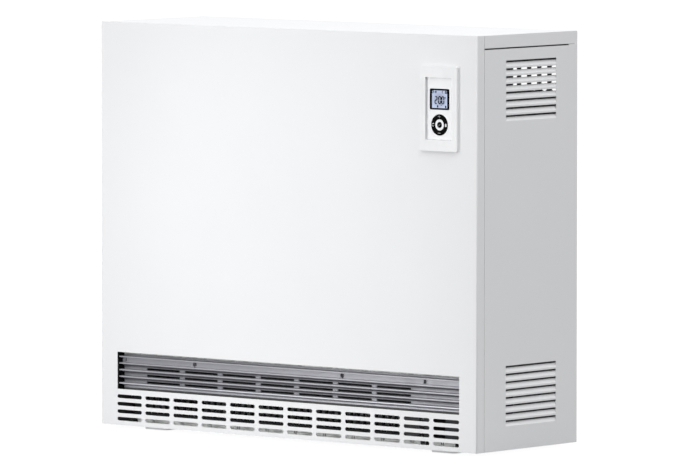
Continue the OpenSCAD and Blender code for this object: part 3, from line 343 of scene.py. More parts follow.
def galvanised(name, colour, spangle, roughness=0.42, painted_shade_from=None):
    """Hot-dipped zinc: crystals of several shades; painted shade, a much darker zinc, behind a depth
    or under a height.
    """
    finish = Finish(name, Metallic=0.25)
    crystal = finish.cells(1 / spangle)
    facet = finish.node("SeparateColor", {"Color": crystal.outputs["Color"]})
    feather = finish.lines((900, 60, 60), turn=(0.3, 0.2, 0.5))
    shade = finish.maths("MULTIPLY", facet.outputs[0], feather)
    rolled = finish.lines((5, 5, 700), 2)
    sheet = finish.tones(shade, colour, (0.0, 0.80), (0.3, 1), (0.75, 1.16))
    # Painted shade: deeper than behind or lower than under, the zinc is made much darker, where
    # little light reaches.
    if painted_shade_from:
        behind, under = painted_shade_from
        blend = 0.002
        painted_shade = finish.maths(
            "MAXIMUM", finish.band(finish.axis("Y"), behind, behind + blend),
            finish.band(finish.axis("Z"), under, under + blend, 1.0, 0.0))
        sheet = finish.mixed(painted_shade, sheet, tinted(colour, 0.16))
    return finish.join(
        Base_Color=sheet,
        Roughness=finish.band(facet.outputs[1], 0, 1, roughness - 0.08, roughness + 0.12),
        Normal=finish.raised(crystal.outputs["Distance"], 0.00003, 0.25,
                             finish.raised(rolled, 0.00002, 0.2)))


def extruded_aluminium(name, settings, low, high, roughness=0.52):
    """Satin extrusion with die lines along x, painted shade on the walls under its fins and a painted
    highlight along its lower lip.
    """
    colour, streaks = settings.aluminium, settings.streaks
    finish = Finish(name, Metallic=0.7)
    lines = finish.lines((2, 700, 700), 4, 0.6)
    fine = finish.lines((25, 2600, 2600), 2)
    dust = finish.cloud(60, 3)
    height = finish.axis("Z")
    top_fin = high - 0.0025
    bay = finish.maths("DIVIDE", finish.maths("SUBTRACT", top_fin, height), settings.fin_pitch)
    below = finish.maths("FRACT", bay)
    # The painted shade under each fin fades in and out between these shares of the fin pitch, from
    # the second fin down.
    stain_and_shade = finish.band(bay, 1.0, 1.02)
    for step in (finish.band(below, 0.36, 0.46), finish.band(below, 0.62, 0.9, 1.0, 0.0)):
        stain_and_shade = finish.maths("MULTIPLY", stain_and_shade, step)
    satin_with_painted_light = finish.tones(lines, colour, (0.25, 0.95), (0.75, 1.05))
    satin_with_painted_light = finish.mixed(stain_and_shade, satin_with_painted_light, tinted(colour, 1 - settings.stain_and_shade))
    # Painted highlight: below the lip height the aluminium is made much lighter, standing in for
    # light on the lowest bay.
    lip, blend = low + settings.lip, 0.0004
    satin_with_painted_light = finish.mixed(
        finish.band(height, lip - blend, lip + blend, 1.0, 0.0), satin_with_painted_light, tinted(colour, 1.55))
    return finish.join(
        Base_Color=satin_with_painted_light,
        Roughness=finish.spread(dust, roughness - 0.05, roughness + 0.07),
        Normal=finish.raised(lines, streaks, 0.5, finish.raised(fine, streaks * 0.4, 0.4)))


def rolled_metal(name, colour, roughness=0.35, metallic=1.0, along=(6, 600, 600), tarnish=0.8):
    """Plain worked metal: rolling or turning lines and a little tarnish."""
    finish = Finish(name, Metallic=metallic)
    lines = finish.lines(along)
    stain_and_shade = finish.cloud(55, 4, 0.65)
    return finish.join(
        Base_Color=finish.tones(
            finish.maths("MULTIPLY", stain_and_shade, lines), colour, (0.08, tarnish), (0.4, 1.08)),
        Roughness=finish.spread(stain_and_shade, roughness - 0.07, roughness + 0.12),
        Normal=finish.raised(lines, 0.00003, 0.3))


def moulded_plastic(name, colour, roughness=0.4, grain=0.0011, depth=0.00004, gloss=0.0, shine=0.5,
                    pale_from=None):
    """Plastic with a spark-eroded grain; clear-coated by gloss, paler beyond a place in x."""
    finish = Finish(name, IOR=1.49, Specular_IOR_Level=shine, Coat_Weight=gloss, Coat_Roughness=0.06)
    erosion = finish.cloud(1 / grain, 3, 0.6)
    tone = finish.tones(finish.cloud(30, 2), colour, (0.3, 0.97), (0.7, 1.03))
    if pale_from:
        pale = finish.band(finish.axis("X"), pale_from, pale_from + 0.001)
        tone = finish.mixed(pale, tone, tinted(colour, 2.8))
    return finish.join(
        Base_Color=tone,
        Roughness=finish.spread(erosion, max(0.05, roughness - 0.05), roughness + 0.05),
        Normal=finish.raised(erosion, depth, 0.4))


def soft_rubber(name, colour):
    """Dull black rubber with a little bloom."""
    finish = Finish(name, IOR=1.52, Sheen_Weight=0.15)
    bloom = finish.cloud(90, 4)
    return finish.join(
        Base_Color=finish.tones(bloom, colour, (0.3, 1), (0.75, 1.7)),
        Roughness=finish.spread(bloom, 0.62, 0.8),
        Normal=finish.raised(finish.cloud(1500, 2), 0.00005, 0.4))


def mineral_board(name, colour):
    """Pressed mineral insulation: matt, with fibres, small pits and warmer patches."""
    finish = Finish(name, Specular_IOR_Level=0.2, Roughness=0.92)
    patch = finish.cloud(9, 3)
    fibre = finish.lines((260, 900, 260), 4, 0.7, (0.4, 0.2, 0.9))
    hollow = finish.band(finish.cells(240.0).outputs["Distance"], 0.0, 0.28)
    return finish.join(
        Base_Color=finish.tones(
            finish.maths("MULTIPLY", patch, fibre), colour, (0.08, 0.78), (0.25, 1), (0.5, 1.12)),
        Normal=finish.raised(finish.maths("MULTIPLY", hollow, fibre), 0.0004, 0.5))


def fired_brick(name, colour):
    """Dense fired storage brick: grains, dark iron spots and a rough skin."""
    finish = Finish(name, Specular_IOR_Level=0.3)
    grain = finish.cells(420.0)
    patch = finish.cloud(22, 4, 0.6)
    iron = finish.band(finish.cloud(170, 2), 0.60, 0.68)
    base = finish.tones(patch, colour, (0.25, 0.7), (0.5, 1), (0.8, 1.5))
    return finish.join(
        Base_Color=finish.mixed(iron, base, (0.03, 0.026, 0.028, 1)),
        Roughness=finish.spread(patch, 0.75, 0.92),
        Normal=finish.raised(grain.outputs["Distance"], 0.0005, 0.5,
                             finish.raised(patch, 0.0012, 0.4)))


def unglazed_ceramic(name, colour):
    """Steatite bush: fine, dry and slightly speckled."""
    finish = Finish(name, IOR=1.6, Specular_IOR_Level=0.35)
    specks = finish.band(finish.cloud(900, 2), 0.58, 0.66)
    return finish.join(
        Base_Color=finish.mixed(specks, colour, tinted(colour, 0.72)),
        Roughness=finish.spread(finish.cloud(50), 0.45, 0.65),
        Normal=finish.raised(finish.cloud(1400, 2), 0.00006, 0.5))


def heated_tube(name, colour):
    """Stainless heating element, blued and straw-coloured by its own heat."""
    finish = Finish(name, Metallic=1.0)
    heat = finish.lines((7, 14, 14), 2)
    scale = finish.cloud(700, 3)
    blued, straw = (0.20, 0.17, 0.24, 1), (0.36, 0.27, 0.17, 1)
    return finish.join(
        Base_Color=finish.shades(
            heat, (0.25, tinted(colour, 0.7)), (0.42, blued), (0.55, straw), (0.75, colour)),
        Roughness=finish.spread(scale, 0.28, 0.5),
        Normal=finish.raised(scale, 0.00003, 0.4))


def printed_board(name, colour):
    """Green solder resist over copper tracks, with tinned pads."""
    finish = Finish(name, Coat_Weight=0.6, Coat_Roughness=0.2)
    white, black = (1, 1, 1, 1), (0, 0, 0, 1)
    tracks = finish.node("TexBrick", {
        "Vector": finish.stretched((1, 1, 1), (0, math.pi / 2, 0)), "Scale": 120.0,
        "Mortar Size": 0.07, "Color1": white, "Color2": white, "Mortar": black})
    pad = finish.band(finish.cells(230.0).outputs["Distance"], 0.16, 0.13)
    lines = finish.band(tracks.outputs["Fac"], 0.4, 0.6, 1.0, 0.0)
    green = finish.mixed(lines, tinted(colour, 1.7), colour)
    return finish.join(
        Base_Color=finish.mixed(pad, green, (0.55, 0.55, 0.53, 1)), Metallic=pad,
        Roughness=finish.spread(finish.cloud(300), 0.3, 0.42),
        Normal=finish.raised(lines, 0.00005, 0.5))


def wound_tape(name, colour):
    """Yellow tape round a winding, with its overlaps."""
    finish = Finish(name, IOR=1.5, Coat_Weight=0.3)
    turns = finish.node("TexWave", {
        "Vector": finish.place, "Scale": 70.0, "Distortion": 0.4,
        "Detail": 1.0}, bands_direction="Z").outputs["Fac"]
    return finish.join(
        Base_Color=finish.tones(turns, colour, (0.1, 0.75), (0.4, 1)),
        Roughness=finish.band(turns, 0, 1, 0.35, 0.5),
        Normal=finish.raised(turns, 0.0002, 0.4))


# ---- Shaping and dressing ----


WELD = 0.000004  # vertices of a part closer than this, in metres, are one
SHARP = 35  # degrees from which an edge counts as sharp


def dress(material, *names, edge=None, segments=2, angle=SHARP):
    """Gives the named parts of the frame this finish, and rounds their sharp edges by this width."""
    for name in names:
        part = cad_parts[name]
        slots = part.data.materials
        slots.clear()
        slots.append(material)
        if edge is None:
            continue
        weld = part.modifiers.new("Weld", "WELD")
        weld.merge_threshold = WELD
        bevel = part.modifiers.new("Rounded Edges", "BEVEL")
        bevel.width = edge
        bevel.segments = segments
        bevel.limit_method = "ANGLE"
        bevel.angle_limit = math.radians(angle)
        bevel.use_clamp_overlap = True
        bevel.harden_normals = True


def new_piece(name, bm, material, body="heater", stands_for=(), smooth=False):
    """Turns a bmesh into a piece that rides on a body of the heater."""
    bmesh.ops.recalc_face_normals(bm, faces=bm.faces)
    mesh = bpy.data.meshes.new(name)
    bm.to_mesh(mesh)
    bm.free()
    mesh.materials.append(material)
    if smooth:
        mesh.shade_smooth()
        mesh.set_sharp_from_angle(angle=math.radians(SHARP))
    piece = bpy.data.objects.new(name, mesh)
    bpy.context.scene.collection.objects.link(piece)
    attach(piece, body)
    if stands_for:
        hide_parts(*stands_for)


def loose_parts(name):
    """The lowest and highest corner of each separate solid of a part."""
    bm = bmesh.new()
    bm.from_mesh(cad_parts[name].data)
    bmesh.ops.remove_doubles(bm, verts=bm.verts, dist=WELD)
    left, corners = set(bm.verts), []
    while left:
        group, todo = set(), {next(iter(left))}
        while todo:
            group |= todo
            todo = {edge.other_vert(vert) for vert in todo for edge in vert.link_edges} - group
        left -= group
        corners.append((Vector(min(v.co[i] for v in group) for i in range(3)),
                        Vector(max(v.co[i] for v in group) for i in range(3))))
    bm.free()
    return sorted(corners, key=lambda pair: tuple(round(c, 5) for c in pair[0]))


def prism(bm, outline, front, back):
    """Adds a plate with this outline of (x, z) points between two values of y."""
    fronts = [bm.verts.new((x, front, z)) for x, z in outline]
    backs = [bm.verts.new((x, back, z)) for x, z in outline]
    bm.faces.new(fronts)
    bm.faces.new(backs[::-1])
    for i in range(len(outline)):
        j = (i + 1) % len(outline)
        bm.faces.new([fronts[j], fronts[i], backs[i], backs[j]])


def arc(cx, cz, radius, start, end, steps):
    """Points of (x, z) along an arc, angles in degrees."""
    turns = [math.radians(start + (end - start) * i / steps) for i in range(steps + 1)]
    return [(cx + radius * math.cos(turn), cz + radius * math.sin(turn)) for turn in turns]


def ring_outline(cx, cz, outer, inner, start=0, end=350, steps=24):
    """Outline of a piece of a ring."""
    return arc(cx, cz, outer, start, end, steps) + arc(cx, cz, inner, end, start, steps)


def stroke(p, q, width):
    """Outline of a straight line of this width."""
    along = (Vector(q) - Vector(p)).normalized() * width / 2
    side = Vector((-along.y, along.x))
    return [tuple(Vector(p) + side), tuple(Vector(p) - side),
            tuple(Vector(q) - side), tuple(Vector(q) + side)]


def lathe(bm, profile, steps=28):
    """Spins a profile of (radius, height) points round the z axis and closes it at both ends."""
    verts = [bm.verts.new((radius, 0, height)) for radius, height in profile]
    edges = [bm.edges.new(pair) for pair in zip(verts, verts[1:])]
    bmesh.ops.spin(bm, geom=verts + edges, cent=(0, 0, 0), axis=(0, 0, 1),
                   angle=math.tau, steps=steps, use_duplicate=False)
    bmesh.ops.remove_doubles(bm, verts=bm.verts, dist=0.0000005)


def screw_mesh(head_r, head_h, dome, shank_r, shank_l):
    """A pan-head screw with a cross recess; its head's top is at z = 0 and it points down."""
    bm = bmesh.new()
    edge = head_h - dome
    profile = [(0, 0)]
    profile += [(head_r * math.sin(a) * 0.98, -dome * (1 - math.cos(a)) * 0.9)
                for a in (math.pi / 2 * k / 6 for k in range(1, 7))]
    profile += [(head_r, -dome - edge * 0.15), (head_r, -head_h), (shank_r, -head_h)]
    pitch = shank_r * 0.55
    depth = -head_h
    while depth - pitch > -head_h - shank_l:
        profile += [(shank_r, depth - pitch * 0.15), (shank_r * 0.78, depth - pitch * 0.6)]
        depth -= pitch
    profile += [(shank_r * 0.8, -head_h - shank_l), (0, -head_h - shank_l)]
    lathe(bm, profile)
    blank = bpy.data.meshes.new("blank")
    bm.to_mesh(blank)
    bm.free()
    cutter = bmesh.new()
    arm, slot, sink = head_r * 0.56, head_r * 0.15, head_h * 0.62
    for turn in (0, math.pi / 2):
        made = bmesh.ops.create_cube(cutter, size=1)["verts"]
        for vert in made:
            low = vert.co.z < 0
            reach = arm * (0.45 if low else 1.0)
            vert.co = Matrix.Rotation(turn, 3, "Z") @ Vector((
                math.copysign(reach, vert.co.x), math.copysign(slot, vert.co.y),
                -sink if low else dome))
    cross = bpy.data.meshes.new("cross")
    cutter.to_mesh(cross)
    cutter.free()
    holders = [bpy.data.objects.new(m.name, m) for m in (blank, cross)]
    for holder in holders:
        bpy.context.scene.collection.objects.link(holder)
    cut = holders[0].modifiers.new("Recess", "BOOLEAN")
    cut.operation, cut.solver, cut.object = "DIFFERENCE", "EXACT", holders[1]
    cut.use_self = True
    graph = bpy.context.evaluated_depsgraph_get()
    finished = bpy.data.meshes.new_from_object(holders[0].evaluated_get(graph))
    for holder in holders:
        data = holder.data
        bpy.data.objects.remove(holder)
        bpy.data.meshes.remove(data)
    return finished


def set_screws(name, corners, heads_front, dome, material, stands_for):
    """Puts a detailed screw where each plain one is; their heads face the front or the back."""
    lo, hi = corners[0]
    head_r = (hi.z - lo.z) / 2
    length = hi.y - lo.y
    head_h = min(2.4e-3, length * 0.28)
    made = screw_mesh(head_r, head_h, dome, head_r * 0.5, length - head_h)
    bm = bmesh.new()
    for index, (lo, hi) in enumerate(corners):
        middle = (lo + hi) / 2
        top = lo.y if heads_front else hi.y
        tilt = Matrix.Rotation(math.pi / 2 if heads_front else -math.pi / 2, 4, "X")
        turn = Matrix.Rotation(math.radians(23 + 37 * index), 4, "Z")
        before = len(bm.verts)
        bm.from_mesh(made)
        bm.verts.ensure_lookup_table()
        bmesh.ops.transform(bm, verts=bm.verts[before:],
                            matrix=Matrix.Translation((middle.x, top, middle.z)) @ tilt @ turn)
    bpy.data.meshes.remove(made)
    new_piece(name, bm, material, stands_for=stands_for, smooth=True)


# ---- Casing, feet and fasteners ----


class HEATER_OT_casing(bpy.types.Operator):
    """Finish the coated front, top and sides, with rounded folds"""

    bl_idname = "heater.casing"
    bl_label = "Casing"

    def execute(self, context):
        settings = context.scene.heater_casing
        fold, cut = settings.fold_radius, settings.edge_radius
        for name, inside, edge in (("front_panel", (0, 1, 0), fold), ("top_cover", (0, 0, -1), fold),
                                   ("left_side_panel", (1, 0, 0), cut),
                                   ("right_side_panel", (-1, 0, 0), cut)):
            title = "Powder Coat " + name.split("_")[0].title()
            dress(powder_coat(title, settings.coat, settings.coat_roughness, settings.coat_grain,
                              inside, settings.primer_and_painted_shade), name, edge=edge)
        return {"FINISHED"}


class HEATER_OT_feet(bpy.types.Operator):
    """Finish the two pressed feet, with a faint glow that paints light onto them"""

    bl_idname = "heater.feet"
    bl_label = "Feet"

    def execute(self, context):
        settings = context.scene.heater_casing
        coat = powder_coat("Foot Coat", tinted(settings.coat, 0.97), settings.coat_roughness + 0.05,
                           settings.coat_grain)
        # Painted light: the feet glow faintly in their coat colour, lifting them out of the shade
        # under the casing.
        sockets = coat.node_tree.nodes["Principled BSDF"].inputs
        sockets["Emission Color"].default_value = settings.coat
        sockets["Emission Strength"].default_value = 0.3
        dress(coat, "left_foot", "right_foot", edge=settings.fold_radius)
        return {"FINISHED"}


class HEATER_OT_back(bpy.types.Operator):
    """Finish the galvanised rear panel and base tray, and the cable bush"""

    bl_idname = "heater.back"
    bl_label = "Rear and Base"

    def execute(self, context):
        settings = context.scene.heater_casing
        dress(galvanised("Zinc Sheet", settings.zinc, settings.spangle),
              "rear_panel", "base_tray", edge=settings.edge_radius)
        dress(soft_rubber("Cable Bush", (0.018, 0.018, 0.019, 1)), "cable_bush")
        return {"FINISHED"}


class HEATER_OT_screws(bpy.types.Operator):
    """Make the pan-head screws of the casing and of the grille"""

    bl_idname = "heater.screws"
    bl_label = "Screws"

    def execute(self, context):
        dome = context.scene.heater_grille.screw_dome
        for kind, finish, grey, roughness in (("casing", "Plated Screw", (0.50, 0.50, 0.49, 1), 0.32),
                                              ("grille", "Dull Screw", (0.17, 0.17, 0.17, 1), 0.45)):
            plain = f"{kind}_screws"
            set_screws(f"{kind}_screw_set", loose_parts(plain), kind == "grille", dome,
                       rolled_metal(finish, grey, roughness, along=(900, 900, 900)),
                       (plain,))
        return {"FINISHED"}


# ---- Outlet and intake ----


FILTER_END = 0.208  # where the plain end of the lint filter begins, in x
FAN_BAY_TOP = 0.075  # height under which little light reaches the partition


class HEATER_OT_grille(bpy.types.Operator):
    """Finish the finned aluminium outlet grille and the plates at its ends"""

    bl_idname = "heater.grille"
    bl_label = "Outlet Grille"

    def execute(self, context):
        settings = context.scene.heater_grille
        low, high = (corner.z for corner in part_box("outlet_grille"))
        dress(extruded_aluminium("Satin Aluminium", settings, low, high), "outlet_grille",
              edge=settings.fin_radius, angle=50)
        dress(moulded_plastic("End Plate", (0.004, 0.004, 0.0045, 1), 0.6, shine=0.1),
              "grille_end_pieces")
        return {"FINISHED"}


class HEATER_OT_intake(bpy.types.Operator):
    """Finish the lint filter behind the intake slots and the plate beside it"""

    bl_idname = "heater.intake"
    bl_label = "Intake"

    def execute(self, context):
        colour = context.scene.heater_grille.filter_colour
        dress(moulded_plastic("Filter Plastic", colour, 0.5, 0.0009, 0.00005, shine=0.2,
                              pale_from=FILTER_END), "lint_filter")
        dress(moulded_plastic("Blank Plate", tinted(colour, 2.9), 0.55, shine=0.2), "blank_plate")
        return {"FINISHED"}


class HEATER_OT_air_duct(bpy.types.Operator):
    """Finish the duct, the fan tray, the flap and its bimetal strip"""

    bl_idname = "heater.air_duct"
    bl_label = "Air Duct"

    def execute(self, context):
        settings = context.scene.heater_casing
        zinc, cut = settings.zinc, settings.edge_radius
        edge, lip = 0.0012, 0.012
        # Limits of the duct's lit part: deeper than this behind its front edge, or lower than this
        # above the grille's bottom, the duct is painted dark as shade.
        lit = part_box("outlet_duct")[0].y + edge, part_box("outlet_grille")[0].z + lip
        # Painted light: the tray's and sensor bracket's zinc is made much lighter than the casing's,
        # standing in for light on them in the shade behind the front panel.
        dress(rolled_metal("Tray Sheet", tinted(zinc, 1.5), 0.5, 0.05, tarnish=0.95),
              "fan_tray", "sensor_bracket", edge=cut)
        # Painted light and shade: the duct's zinc is made lighter than the casing's, and much darker
        # past the limits above.
        dress(galvanised("Duct Sheet", tinted(zinc, 1.4), settings.spangle * 0.8, 0.5, lit),
              "outlet_duct", edge=cut)
        # Painted shade: the flap's zinc is made nearly black, for the dark inside the duct.
        dress(galvanised("Flap Sheet", tinted(zinc, 0.10), settings.spangle), "air_flap", edge=cut)
        dress(rolled_metal("Bimetal", (0.55, 0.40, 0.20, 1), 0.3, along=(600, 600, 6)),
              "bimetal_strip")
        return {"FINISHED"}


class HEATER_OT_fan(bpy.types.Operator):
    """Finish the crossflow fan: rotor, housing, motor, bearing and rubber mounts"""

    bl_idname = "heater.fan"
    bl_label = "Fan"

    def execute(self, context):
        settings = context.scene.heater_casing
        cut = settings.edge_radius
        dress(rolled_metal("Rotor Aluminium", (0.42, 0.42, 0.44, 1), 0.35, tarnish=0.85), "fan_rotor")
        dress(galvanised("Housing Sheet", settings.zinc, settings.spangle), "fan_housing", edge=cut)
        dress(rolled_metal("Motor Laminations", (0.16, 0.16, 0.17, 1), 0.5, 0.7, (2200, 4, 4)),
              "fan_motor", edge=cut)
        dress(rolled_metal("Sintered Bronze", (0.44, 0.28, 0.13, 1), 0.4, along=(700, 700, 700)),
              "fan_bearing")
        dress(soft_rubber("Motor Mount", (0.016, 0.016, 0.017, 1)), "motor_mounts")
        return {"FINISHED"}


# ---- Core and electrics ----


class HEATER_OT_core(bpy.types.Operator):
    """Finish the bricks, the heating elements, the insulation and the frame of the core"""

    bl_idname = "heater.core"
    bl_label = "Storage Core"

    def execute(self, context):
        settings = context.scene.heater_core
        sheet = context.scene.heater_casing
        dress(fired_brick("Fired Brick", settings.brick), "storage_bricks",
              edge=settings.chamfer, segments=1, angle=60)
        sides = ("base", "left", "right", "front", "rear", "top")
        dress(mineral_board("Mineral Board", settings.board),
              *(f"{side}_insulation" for side in sides), edge=0.0012)
        dress(heated_tube("Heated Tube", (0.42, 0.40, 0.38, 1)), "heating_elements", "core_sensor")
        dress(unglazed_ceramic("Steatite", (0.74, 0.70, 0.62, 1)), "element_bushes", edge=0.0004)
        for name, painted_shade_from, parts in (
                ("Frame Sheet", None, ("core_frame", "inner_front_plate")),
                # The partition's zinc is painted much darker as shade below the fan bay's top.
                ("Partition Sheet", (CAD_BOX[1].y, FAN_BAY_TOP), ("partition",))):
            dress(galvanised(name, sheet.zinc, sheet.spangle * 1.2, 0.45, painted_shade_from),
                  *parts, edge=sheet.edge_radius)
        return {"FINISHED"}


class HEATER_OT_electrics(bpy.types.Operator):
    """Finish the electrics and fit the small parts of the control board"""

    bl_idname = "heater.electrics"
    bl_label = "Electrics"

    def execute(self, context):
        settings = context.scene.heater_core
        sheet = context.scene.heater_casing
        soft = 0.0005
        dress(galvanised("Electrics Sheet", sheet.zinc, sheet.spangle), "electrics_plate")
        dress(printed_board("Control Board", settings.circuit), "control_board")
        dress(wound_tape("Winding Tape", (0.60, 0.36, 0.04, 1)), "board_transformer", edge=soft)
        phenolic = moulded_plastic("Phenolic", (0.017, 0.016, 0.016, 1), 0.38, 0.0006)
        dress(phenolic, "room_sensor")
        dress(phenolic, "safety_cutout", edge=soft)
        for name, colour, roughness, gloss, edge, part in (
                ("Relay Cover", (0.018, 0.06, 0.30, 1), 0.3, 0.4, soft, "board_relays"),
                ("Capacitor Sleeve", (0.013, 0.013, 0.016, 1), 0.3, 0.3, soft, "board_capacitors"),
                ("Natural Nylon", (0.66, 0.65, 0.60, 1), 0.45, 0.0, None, "board_spacers"),
                ("Terminal Plastic", (0.62, 0.61, 0.57, 1), 0.4, 0.0, soft, "terminal_block"),
                ("Reset Red", (0.40, 0.012, 0.01, 1), 0.3, 0.3, None, "reset_button")):
            dress(moulded_plastic(name, colour, roughness, gloss=gloss), part, edge=edge)
        self.fit_small_parts(settings.chips)
        return {"FINISHED"}

    def fit_small_parts(self, count):
        """Rows of surface-mounted parts where the control board is free."""
        lo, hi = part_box("control_board")
        taken = [corners for name in ("board_relays", "board_capacitors", "board_transformer",
                                      "board_spacers", "safety_cutout")
                 for corners in loose_parts(name)]
        resistor, chip = (0.0036, 0.0022, 0.0011), (0.0062, 0.0044, 0.0016)
        margin, clear, pitch, sunk, draft = 0.008, 0.005, 0.0062, 0.0001, 0.9
        columns = 7
        rows = int((hi.z - lo.z - 2 * margin) / pitch) + 1
        bm = bmesh.new()
        made = 0
        for row, column in ((r, c) for r in range(rows) for c in range(columns)):
            y = lo.y + margin + column * (hi.y - lo.y - 2 * margin) / (columns - 1)
            z = hi.z - margin - row * pitch
            long, wide, tall = resistor if (row + column) % 3 else chip
            if made == count or any(a.y - clear < y < b.y + clear and a.z - clear < z < b.z + clear
                                    for a, b in taken):
                continue
            made += 1
            for vert in bmesh.ops.create_cube(bm, size=1)["verts"]:
                top = vert.co.x > 0
                rise = draft if top else 1.0
                vert.co = Vector((hi.x + (tall if top else -sunk),
                                  y + vert.co.y * long * rise, z + vert.co.z * wide * rise))
        if not made:
            bm.free()
            raise RuntimeError("no free place for small parts on the control board")
        new_piece("board_small_parts", bm, moulded_plastic("Chip Resin", (0.02, 0.02, 0.022, 1), 0.5))


# ---- Controller ----


FINE_EDGE = 0.0002  # rounding of the small black mouldings
# Where each segment of a digit starts and ends, in widths and half heights.
SEGMENTS = {
    "a": ((0, 2), (1, 2)), "b": ((1, 1), (1, 2)), "c": ((1, 0), (1, 1)), "d": ((0, 0), (1, 0)),
    "e": ((0, 0), (0, 1)), "f": ((0, 1), (0, 2)), "g": ((0, 1), (1, 1)),
}
# Lit segments of each digit; where it starts and how wide it is, in digit heights.
TEMPERATURE = (("abged", 0.0, 0.30), ("abcdef", 0.56, 0.335), ("abcdef", 1.05, 0.335))


def digit_outlines(segments, left, low, high, wide, thick):
    """Outlines of the lit segments of one upright digit."""
    half = thick / 2
    gap = thick * 0.04
    outlines = []
    for segment in segments:
        p, q = (Vector((left + wide * x, low + high * z / 2)) for x, z in SEGMENTS[segment])
        along = (q - p).normalized()
        side = Vector((-along.y, along.x)) * half
        p, q = p + along * gap, q - along * gap
        outlines.append([tuple(v) for v in (
            p, p + along * half - side, q - along * half - side, q,
            q - along * half + side, p + along * half + side)])
    return outlines


class HEATER_OT_controller(bpy.types.Operator):
    """Finish the controller's frame, fascia, bezel, box and what is behind them"""

    bl_idname = "heater.controller"
    bl_label = "Controller"

    def execute(self, context):
        settings = context.scene.heater_control
        edge = settings.edge_radius
        dress(moulded_plastic("Frame Plastic", settings.frame_colour, 0.38, 0.0014, 0.00001),
              "control_frame", edge=edge, segments=3)
        dress(moulded_plastic("Box Plastic", (0.66, 0.66, 0.65, 1), 0.45), "control_box",
              edge=edge * 0.6)
        dress(moulded_plastic("Fascia Plastic", settings.fascia, 0.22, 0.002, 0.000004, 0.5),
              "control_fascia")
        dress(moulded_plastic("Bezel Plastic", (0.0015, 0.0015, 0.002, 1), 0.3, 0.002, 0.000004,
                              shine=0.02), "display_bezel", edge=FINE_EDGE)
        dress(printed_board("Display Board", context.scene.heater_core.circuit), "display_board")
        dress(moulded_plastic("Switch Plastic", (0.015, 0.015, 0.016, 1), 0.4), "key_switches")
        return {"FINISHED"}


class HEATER_OT_display(bpy.types.Operator):
    """Light the display and draw its digits and signs"""

    bl_idname = "heater.display"
    bl_label = "Display"

    def execute(self, context):
        settings = context.scene.heater_control
        dress(self.lit_glass(settings.backlight), "display_screen")
        dark = moulded_plastic("Display Ink", settings.segments, 0.35, 0.002, 0.000002, shine=0.02)
        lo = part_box("display_screen")[0]
        bezel_lo, bezel_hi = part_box("display_bezel")
        centre_x, _, centre_z = (bezel_lo + bezel_hi) / 2
        proud, sunk = 0.00006, 0.00004
        front, back = lo.y - proud, lo.y + sunk
        tall = settings.digit_height
        thick = tall * 0.15
        high = tall - thick
        low = centre_z - tall * 0.61 + thick / 2
        start = centre_x - tall * 0.80 + thick / 2
        bm = bmesh.new()
        lean = math.tan(settings.digit_slant)
        for segments, offset, wide in TEMPERATURE:
            left = start + offset * tall
            for outline in digit_outlines(segments, left, low, high, wide * tall, thick):
                prism(bm, [(x + (z - low) * lean, z) for x, z in outline], front, back)
        dot = start + 0.98 * tall
        prism(bm, arc(dot, low - thick * 1.1, thick * 0.45, 0, 330, 11), front, back)
        degree = start + 1.59 * tall
        prism(bm, ring_outline(degree, low + high * 0.87, thick * 0.65, thick * 0.25), front, back)
        new_piece("display_digits", bm, dark)
        bm = bmesh.new()
        for outline in self.signs(centre_x, centre_z):
            prism(bm, outline, front, back)
        new_piece("display_signs", bm, dark)
        return {"FINISHED"}

    def signs(self, cx, cz):
        """Clock and sun, moon and store of bricks along the top; flame and house along the bottom."""
        top = cz + 0.0113
        clock, sun, moon, store, flame, house = (cx + at for at in (
            -0.0133, -0.0077, 0.0067, 0.0129, -0.0039, 0.0122))
        lines = [
            ring_outline(clock, top, 0.0024, 0.0016),
            stroke((clock, top - 0.0001), (clock, top + 0.0014), 0.0007),
            stroke((clock + 0.0001, top), (clock + 0.0013, top), 0.0007),
            arc(sun, top, 0.0013, 0, 340, 17),
            arc(moon, top, 0.0021, 60, 300, 20) + arc(moon + 0.0013, top, 0.0022, 236, 124, 12)]
        for k in range(8):
            way = Vector((math.cos(math.tau * k / 8), math.sin(math.tau * k / 8)))
            middle = Vector((sun, top))
            lines.append(stroke(middle + way * 0.0015, middle + way * 0.0024, 0.0006))
        for row in range(3):
            for column in range(3):
                x, z = store - 0.0024 + column * 0.0017, top + 0.0015 - row * 0.0017
                lines.append(stroke((x, z), (x + 0.0014, z), 0.0014))
        lines.append([(flame + x, cz - 0.0109 + z) for x, z in (
            (0, -0.0024), (0.0012, -0.0014), (0.0015, 0.0001), (0.0008, 0.0011), (0.0004, 0.0025),
            (-0.0008, 0.0012), (-0.0014, 0.0002), (-0.0012, -0.0014))])
        lines.append([(house + x, cz - 0.0113 + z) for x, z in (
            (-0.0012, -0.0020), (0.0012, -0.0020), (0.0012, 0.0003), (0.0019, 0.0003), (0, 0.0022),
            (-0.0019, 0.0003), (-0.0012, 0.0003))])
        return lines

    def lit_glass(self, colour):
        """Backlit display: darker in the middle than at its edges, with a faint cell grid, under
        clear plastic.
        """
        lo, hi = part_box("display_screen")
        finish = Finish("Lit Display", Roughness=0.3, Coat_Weight=0.5, Coat_Roughness=0.04,
                        Emission_Strength=0.30)
        about = finish.node("Mapping", {
            "Vector": finish.place, "Location": -(lo + hi) / 2}).outputs[0]
        spread = finish.node("Mapping", {"Vector": about, "Scale": (55, 0, 62)}).outputs[0]
        glow = finish.node("TexGradient", {"Vector": spread}, gradient_type="SPHERICAL")
        grid = finish.node("TexChecker", {"Vector": finish.place, "Scale": 2600.0})
        deep = (colour[0] * 0.37, colour[1] * 0.40, colour[2] * 0.45, 1)
        light = finish.shades(glow.outputs["Fac"], (0.0, tinted(colour, 1.05)), (0.75, deep))
        return finish.join(Base_Color=light, Emission_Color=light,
                           Normal=finish.raised(grid.outputs["Fac"], 0.000003, 0.2))


